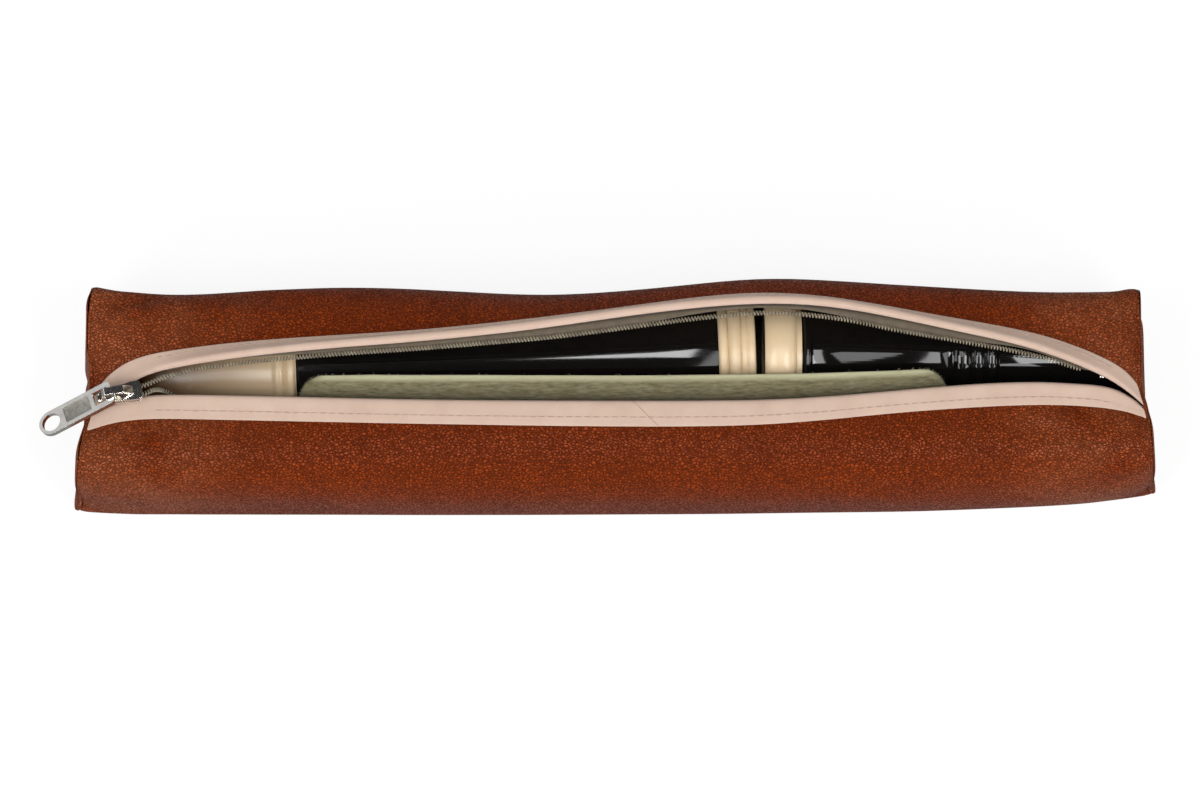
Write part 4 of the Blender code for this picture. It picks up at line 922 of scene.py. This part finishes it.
for side in ("front", "rear"):
    shape = node_shape("zip_tape_" + side)
    if side == "rear":
        for corner in shape.verts:
            gap = corner.co - coil_at(side, corner.co.x)
            if Vector((0, gap.y, gap.z)).length < COIL_REACH * MM:
                corner.co += UNDER_COIL
    band = cloth_piece("zip_tape_cloth_" + side, shape, tape_cloth)
    lay_cloth(band, even_line(coil_lines[side], 1.0 * MM))
    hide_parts("zip_tape_" + side)
    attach(band, "case")

# %% Coils
COIL_PITCH = 0.92
COIL_HALF_WIDTH = 0.56
COIL_HALF_HEIGHT = 0.42
COIL_LINE = 0.19
POINTS_PER_TURN = 10


def wound(line, turn_way):
    """The helix of one coil round its centre line."""
    path = even_line(line, COIL_PITCH / POINTS_PER_TURN * MM)
    helix = []
    for k, place in enumerate(path):
        ahead = path[min(k + 1, len(path) - 1)] - path[max(k - 1, 0)]
        across = ahead.cross(Vector((0, 0, 1))).normalized()
        up = across.cross(ahead).normalized()
        angle = math.tau * k / POINTS_PER_TURN * turn_way
        helix.append(place + across * math.cos(angle) * COIL_HALF_WIDTH * MM
                     + up * math.sin(angle) * COIL_HALF_HEIGHT * MM)
    return helix


for side, way in (("front", 1), ("rear", -1)):
    coil = line_solid("nylon_coil_" + side, [wound(coil_lines[side], way)], COIL_LINE, nylon, 1)
    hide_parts("zip_coil_" + side)
    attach(coil, "case")
    print("coil", side, len(coil.data.polygons), "faces")

# %% [markdown]
# ## Slider and pull tab
#
# The slider is die-cast and plated, so every edge is a little rounded and catches the light. Copies
# of the CAD nodes with a narrow bevel on their sharp edges give just that.

# %% Slider, crown, tab and stops
METAL_PIECES = (
    ("slider_shell", "slider_body", "slider", 0.16),
    ("slider_strap", "slider_crown", "slider", 0.22),
    ("zip_tab", "pull_tab", "pull_tab", 0.2),
)
# The tab's sunk panel lies between these depths below its face
SUNK_FROM, SUNK_TO = 0.1, 0.4
metal = {}
for name, node, body, width in METAL_PIECES:
    shape = node_shape(node)
    bmesh.ops.dissolve_limit(shape, angle_limit=math.radians(2), verts=shape.verts, edges=shape.edges)
    obj = bevelled(piece(name, shape, nickel), width)
    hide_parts(node)
    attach(obj, body)
    metal[node] = obj

tab_mesh = metal["pull_tab"].data
tab_face = max((f for f in tab_mesh.polygons if f.normal.z > 0), key=lambda f: f.area)
tab_up = tab_face.normal.copy()
heights = {f.index: f.center.dot(tab_up) for f in tab_mesh.polygons if f.normal.dot(tab_up) > 0.98}
tab_top = max(heights.values())
tab_mesh.materials.append(sunk_nickel)
for index, height in heights.items():
    if SUNK_FROM * MM < tab_top - height < SUNK_TO * MM:
        tab_mesh.polygons[index].material_index = 1
print("tab: sunk faces", sum(f.material_index for f in tab_mesh.polygons))

for node in ("top_stop_front", "top_stop_rear", "bottom_stop"):
    stop = rounded(piece("nickel_" + node, node_shape(node), nickel, sharp=math.pi), 1)
    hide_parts(node)
    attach(stop, "case")

# %% [markdown]
# ## Felt divider
#
# Felt has no weave, only tangled wool, so its edge is never quite crisp. A subdivided copy of the
# node is roughened by noise, and short fibres stand off its top edge and face.

# %% Felt wall and fibres
FELT_FUZZ = 2600
FIBRE_RADIUS = 0.018
FUZZ_DEPTH = 9.0
# Two sizes of lump: how many to a metre, and how high in mm
LUMPS = ((1100, 0.09), (260, 0.12))
felt = cloth_piece("felt_wall", node_shape("felt_divider"), felt_finish)
for vertex in felt.data.vertices:
    rough = sum(noise.noise(vertex.co * often) * high for often, high in LUMPS)
    vertex.co = vertex.co + vertex.normal * rough * MM
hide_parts("felt_divider")
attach(felt, "case")

random.seed(7)
top_of_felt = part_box("felt_divider")[1].z
upper = [v for v in felt.data.vertices if v.co.z > top_of_felt - FUZZ_DEPTH * MM]
hairs = []
for _ in range(FELT_FUZZ):
    root = random.choice(upper)
    lean = Vector([random.gauss(0, 0.6) for _ in range(3)])
    rise = (root.normal + lean).normalized() * random.uniform(0.25, 0.75) * MM
    bend = Vector([random.gauss(0, 0.12) for _ in range(3)]) * MM
    hairs.append([root.co, root.co + rise * 0.5 + bend, root.co + rise])
fuzz = line_solid("felt_fuzz", hairs, FIBRE_RADIUS, felt_finish)
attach(fuzz, "case")
print("felt:", len(felt.data.polygons), "faces and", FELT_FUZZ, "fibres")

# %% [markdown]
# ## The recorder's turned pieces
#
# Beak, tubes and rings are round, so each is one profile spun about the axis that the frame's joint
# gives. A profile is a list of radius and distance along the axis. Beads are half waves, worked out
# by a function. The window and the foot's double hole are cut with Boolean tools, and their edges
# are broken.

# %% Turning helpers
SPIN_STEPS = 96


def bead(radius, swell, start, end, count=9):
    """Profile points over one turned bead, from its far end to its near end."""
    points = []
    for k in range(count):
        t = k / (count - 1)
        points.append((radius + swell * math.sin(math.pi * t) ** 0.6, end + (start - end) * t))
    return points


def axis_frame(place, roll, yaw):
    """The frame of a recorder joint: Z along it, -X its front."""
    turn = Euler((math.radians(roll), math.radians(90), math.radians(yaw)), "YXZ")
    return Matrix.Translation(place) @ turn.to_matrix().to_4x4()


def spun(name, profile, finish, place):
    """A turned piece in its joint's frame, its closed profile in mm."""
    shape = bmesh.new()
    verts = [shape.verts.new((radius * MM, 0, along * MM)) for radius, along in profile]
    edges = [shape.edges.new(pair) for pair in zip(verts, verts[1:] + verts[:1])]
    bmesh.ops.spin(shape, geom=verts + edges, cent=(0, 0, 0), axis=(0, 0, 1), angle=math.tau,
                   steps=SPIN_STEPS, use_merge=True)
    bmesh.ops.remove_doubles(shape, verts=shape.verts, dist=MERGE)
    bmesh.ops.recalc_face_normals(shape, faces=shape.faces)
    bmesh.ops.transform(shape, matrix=place, verts=shape.verts)
    return piece(name, shape, finish)


def box_tool(size, centre, place):
    """A box to cut with, in mm in a joint's frame."""
    shape = bmesh.new()
    bmesh.ops.create_cube(shape, size=1.0)
    bmesh.ops.transform(shape, verts=shape.verts,
                        matrix=place @ Matrix.Translation(Vector(centre) * MM)
                        @ Matrix.Diagonal((*(Vector(size) * MM), 1)))
    return piece("tool", shape, black)


def round_tool(radius, depth, segments, centre, axis, place):
    """A round tool, its centre in mm in a joint's frame and its length turned over by an axis."""
    shape = bmesh.new()
    bmesh.ops.create_cone(shape, cap_ends=True, segments=segments, radius1=radius * MM,
                          radius2=radius * MM, depth=depth * MM)
    bmesh.ops.transform(shape, verts=shape.verts,
                        matrix=place @ Matrix.Translation(Vector(centre) * MM)
                        @ Matrix.Rotation(math.pi / 2, 4, axis))
    return piece("tool", shape, black)


def cut_by(obj, tools):
    """Cuts the tools out of the object, and removes them."""
    for tool in tools:
        step = obj.modifiers.new("cut", "BOOLEAN")
        step.operation = "DIFFERENCE"
        step.object = tool
    baked(obj)
    for tool in tools:
        bpy.data.objects.remove(tool)
    obj.data.shade_smooth()
    obj.data.set_sharp_from_angle(angle=SHARP)


# %% Head joint
HEAD_LENGTH = 178.0
HEAD_ROLL = 75.0
HEAD_YAW = 2.0
HEAD_BORE = 9.7
HEAD_BODY = 13.2
HEAD_RING = 16.2
HEAD_RING_LENGTH = 10.7
BEAK_END = -HEAD_LENGTH + 45.8
SPIGOT = 11.7
SPIGOT_START = -HEAD_LENGTH + 28.3
SOCKET = 11.0
SEAT = 13.6
GAP = 0.3

head_place = axis_frame(joints["head_roll"]["pos_m"], HEAD_ROLL, HEAD_YAW)
tip = -HEAD_LENGTH
beak_outer = ([(HEAD_BODY + 0.4, BEAK_END)] + bead(HEAD_BODY + 0.4, 0.9, BEAK_END - 3.0, BEAK_END - 0.2)
              + bead(HEAD_BODY + 0.2, 0.8, BEAK_END - 6.6, BEAK_END - 3.4)
              + [(13.2, BEAK_END - 7.2), (13.2, BEAK_END - 20), (12.9, tip + 19), (12.6, tip + 14),
                 (12.0, tip + 9), (11.4, tip + 5), (10.7, tip + 2.6), (10.0, tip + 1), (9.2, tip + 0.2),
                 (8.6, tip)])
beak_inner = [(HEAD_BORE - 2.0, tip), (HEAD_BORE - 2.0, tip + 7.0), (HEAD_BORE, tip + 7.0),
              (HEAD_BORE, SPIGOT_START - GAP), (SPIGOT + GAP, SPIGOT_START - GAP), (SPIGOT + GAP, BEAK_END)]
beak = spun("ivory_beak", beak_outer + beak_inner, ivory, head_place)
UNDERCUT_RADIUS = 62.0
cut_by(beak, [round_tool(UNDERCUT_RADIUS, 60, 120, (UNDERCUT_RADIUS - 1.0, 0, tip - 22.0), "X",
                         head_place)])
bevelled(beak, 0.15)

tube_profile = [(SEAT - 0.3, -1.0), (SEAT, -1.4), (SEAT, -HEAD_RING_LENGTH - GAP),
                (HEAD_BODY + 1.1, -HEAD_RING_LENGTH - GAP), (HEAD_BODY + 1.1, -14), (14.25, -20),
                (14.0, -30), (13.75, -46), (13.55, -65), (13.35, -85), (HEAD_BODY, -108),
                (HEAD_BODY, BEAK_END + 0.6), (HEAD_BODY - 0.4, BEAK_END + GAP), (SPIGOT, BEAK_END + GAP),
                (SPIGOT, SPIGOT_START), (HEAD_BORE, SPIGOT_START), (HEAD_BORE, -20.0), (SOCKET, -20.0),
                (SOCKET, -1.0)]
head_tube = spun("head_joint_tube", tube_profile, black, head_place)
WINDOW_START = tip + 57.3
WINDOW_WIDTH, WINDOW_LENGTH, RAMP_LENGTH = 12.0, 5.0, 14.0
window = box_tool((8.0, WINDOW_WIDTH, WINDOW_LENGTH),
                  (-HEAD_BORE - 2.0, 0, WINDOW_START + WINDOW_LENGTH / 2), head_place)
slope = math.atan2(HEAD_BODY - HEAD_BORE - 0.6, RAMP_LENGTH)
ramp_start = Vector((-HEAD_BORE - 0.6, 0, WINDOW_START + WINDOW_LENGTH)) * MM
ramp_place = head_place @ Matrix.Translation(ramp_start) @ Matrix.Rotation(-slope, 4, "Y")
ramp = box_tool((6.0, WINDOW_WIDTH, 2 * RAMP_LENGTH), (-3.0, 0, RAMP_LENGTH - 0.05), ramp_place)
cut_by(head_tube, [window, ramp])
bevelled(head_tube, 0.12)

block = bevelled(piece("ivory_block", node_shape("windway_block"), ivory), 0.2)

ring_profile = ([(HEAD_RING - 1.6, 0.0)] + bead(HEAD_RING - 1.0, 0.4, -2.2, -0.2)
                + bead(HEAD_RING - 1.0, 0.3, -4.0, -2.4) + bead(HEAD_RING - 1.2, 1.2, -7.7, -4.2, 15)
                + bead(HEAD_RING - 1.7, 0.7, -HEAD_RING_LENGTH + 0.2, -7.9)
                + [(SEAT + GAP, -HEAD_RING_LENGTH), (SEAT + GAP, 0.0)])
head_ring = spun("ivory_head_ring", ring_profile, ivory, head_place)

HEAD_PIECES = ((beak, "beak_cap", "ivory_plastic"), (head_tube, "head_tube", "black_plastic"),
               (block, "windway_block", "ivory_plastic"), (head_ring, "head_ring", "ivory_plastic"))
for obj, node, slot in HEAD_PIECES:
    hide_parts(node)
    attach(obj, "head_joint")

# %% Foot joint
FOOT_LENGTH = 104.6
FOOT_ROLL = 75.0
FOOT_BODY = 13.0
FOOT_THIN = 12.0
FOOT_RING = 17.0
FOOT_RING_LENGTH = 10.6
FOOT_SOCKET = 10.3
FOOT_SEAT = 12.6
FOOT_BORE = 7.2
HOLE_RADIUS, HOLE_ALONG, HOLE_SIDEWAYS = 1.5, 31.0, 2.6

foot_place = axis_frame(joints["foot_roll"]["pos_m"], FOOT_ROLL, 0.0)
foot_profile = ([(FOOT_BODY - 0.9, FOOT_LENGTH), (FOOT_BODY - 0.3, FOOT_LENGTH - 0.5),
                 (FOOT_BODY, FOOT_LENGTH - 2.5), (12.7, FOOT_LENGTH - 5), (12.4, FOOT_LENGTH - 7),
                 (12.1, FOOT_LENGTH - 10), (FOOT_THIN, FOOT_LENGTH - 14), (FOOT_THIN, 67.6)]
                + bead(12.2, 1.0, 63.6, 67.2) + bead(12.2, 0.7, 60.0, 63.2) + bead(12.2, 1.1, 54.4, 59.6)
                + [(FOOT_THIN, 53.8), (12.3, 50), (12.55, 46), (12.75, 42), (12.9, 38), (12.96, 30),
                   (FOOT_BODY, 22), (FOOT_BODY, 14.0)]
                + bead(FOOT_BODY + 0.1, 1.0, FOOT_RING_LENGTH + 0.5, 13.6)
                + [(FOOT_SEAT, FOOT_RING_LENGTH + GAP), (FOOT_SEAT, 1.0), (FOOT_SEAT - 0.3, 0.6),
                   (FOOT_SOCKET, 0.6), (FOOT_SOCKET, 14.6), (FOOT_BORE, 14.6),
                   (FOOT_BORE + 0.5, FOOT_LENGTH)])
foot_tube = spun("foot_joint_tube", foot_profile, black, foot_place)
cut_by(foot_tube, [round_tool(HOLE_RADIUS, 14, 40, (-11.0, sideways, HOLE_ALONG), "Y", foot_place)
                   for sideways in (-HOLE_SIDEWAYS, HOLE_SIDEWAYS)])
bevelled(foot_tube, 0.12)
collar = [(FOOT_RING - 2.6, FOOT_RING_LENGTH), (FOOT_RING - 2.4, 9.9), (FOOT_RING - 2.4, 9.1),
          (FOOT_RING - 1.9, 8.9), (FOOT_RING - 1.2, 8.6), (FOOT_RING - 0.55, 7.8), (FOOT_RING - 0.15, 6.4),
          (FOOT_RING, 5.0), (FOOT_RING - 0.05, 3.8), (FOOT_RING - 0.25, 2.4), (FOOT_RING - 0.6, 1.2),
          (FOOT_RING - 1.1, 0.4), (FOOT_RING - 1.6, 0.0), (FOOT_SEAT + GAP, 0.0),
          (FOOT_SEAT + GAP, FOOT_RING_LENGTH)]
foot_ring = spun("ivory_foot_ring", collar, ivory, foot_place)
FOOT_PIECES = ((foot_tube, "foot_tube", "black_plastic"), (foot_ring, "foot_ring", "ivory_plastic"))
for obj, node, slot in FOOT_PIECES:
    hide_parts(node)
    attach(obj, "foot_joint")

# %% Middle joint
middle = bevelled(piece("middle_joint_tube", node_shape("middle_tube"), black), 0.2)
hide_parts("middle_tube")
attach(middle, "middle_joint")

# %% [markdown]
# ## Sizes and the end
#
# The two boxes are printed, the CAD model's and the dressed model's.

# %% Sizes
dressed_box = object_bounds()
for label, (low, high) in (("CAD", cad_box), ("dressed", dressed_box)):
    print(label, [round(v / MM, 1) for v in low], [round(v / MM, 1) for v in high])
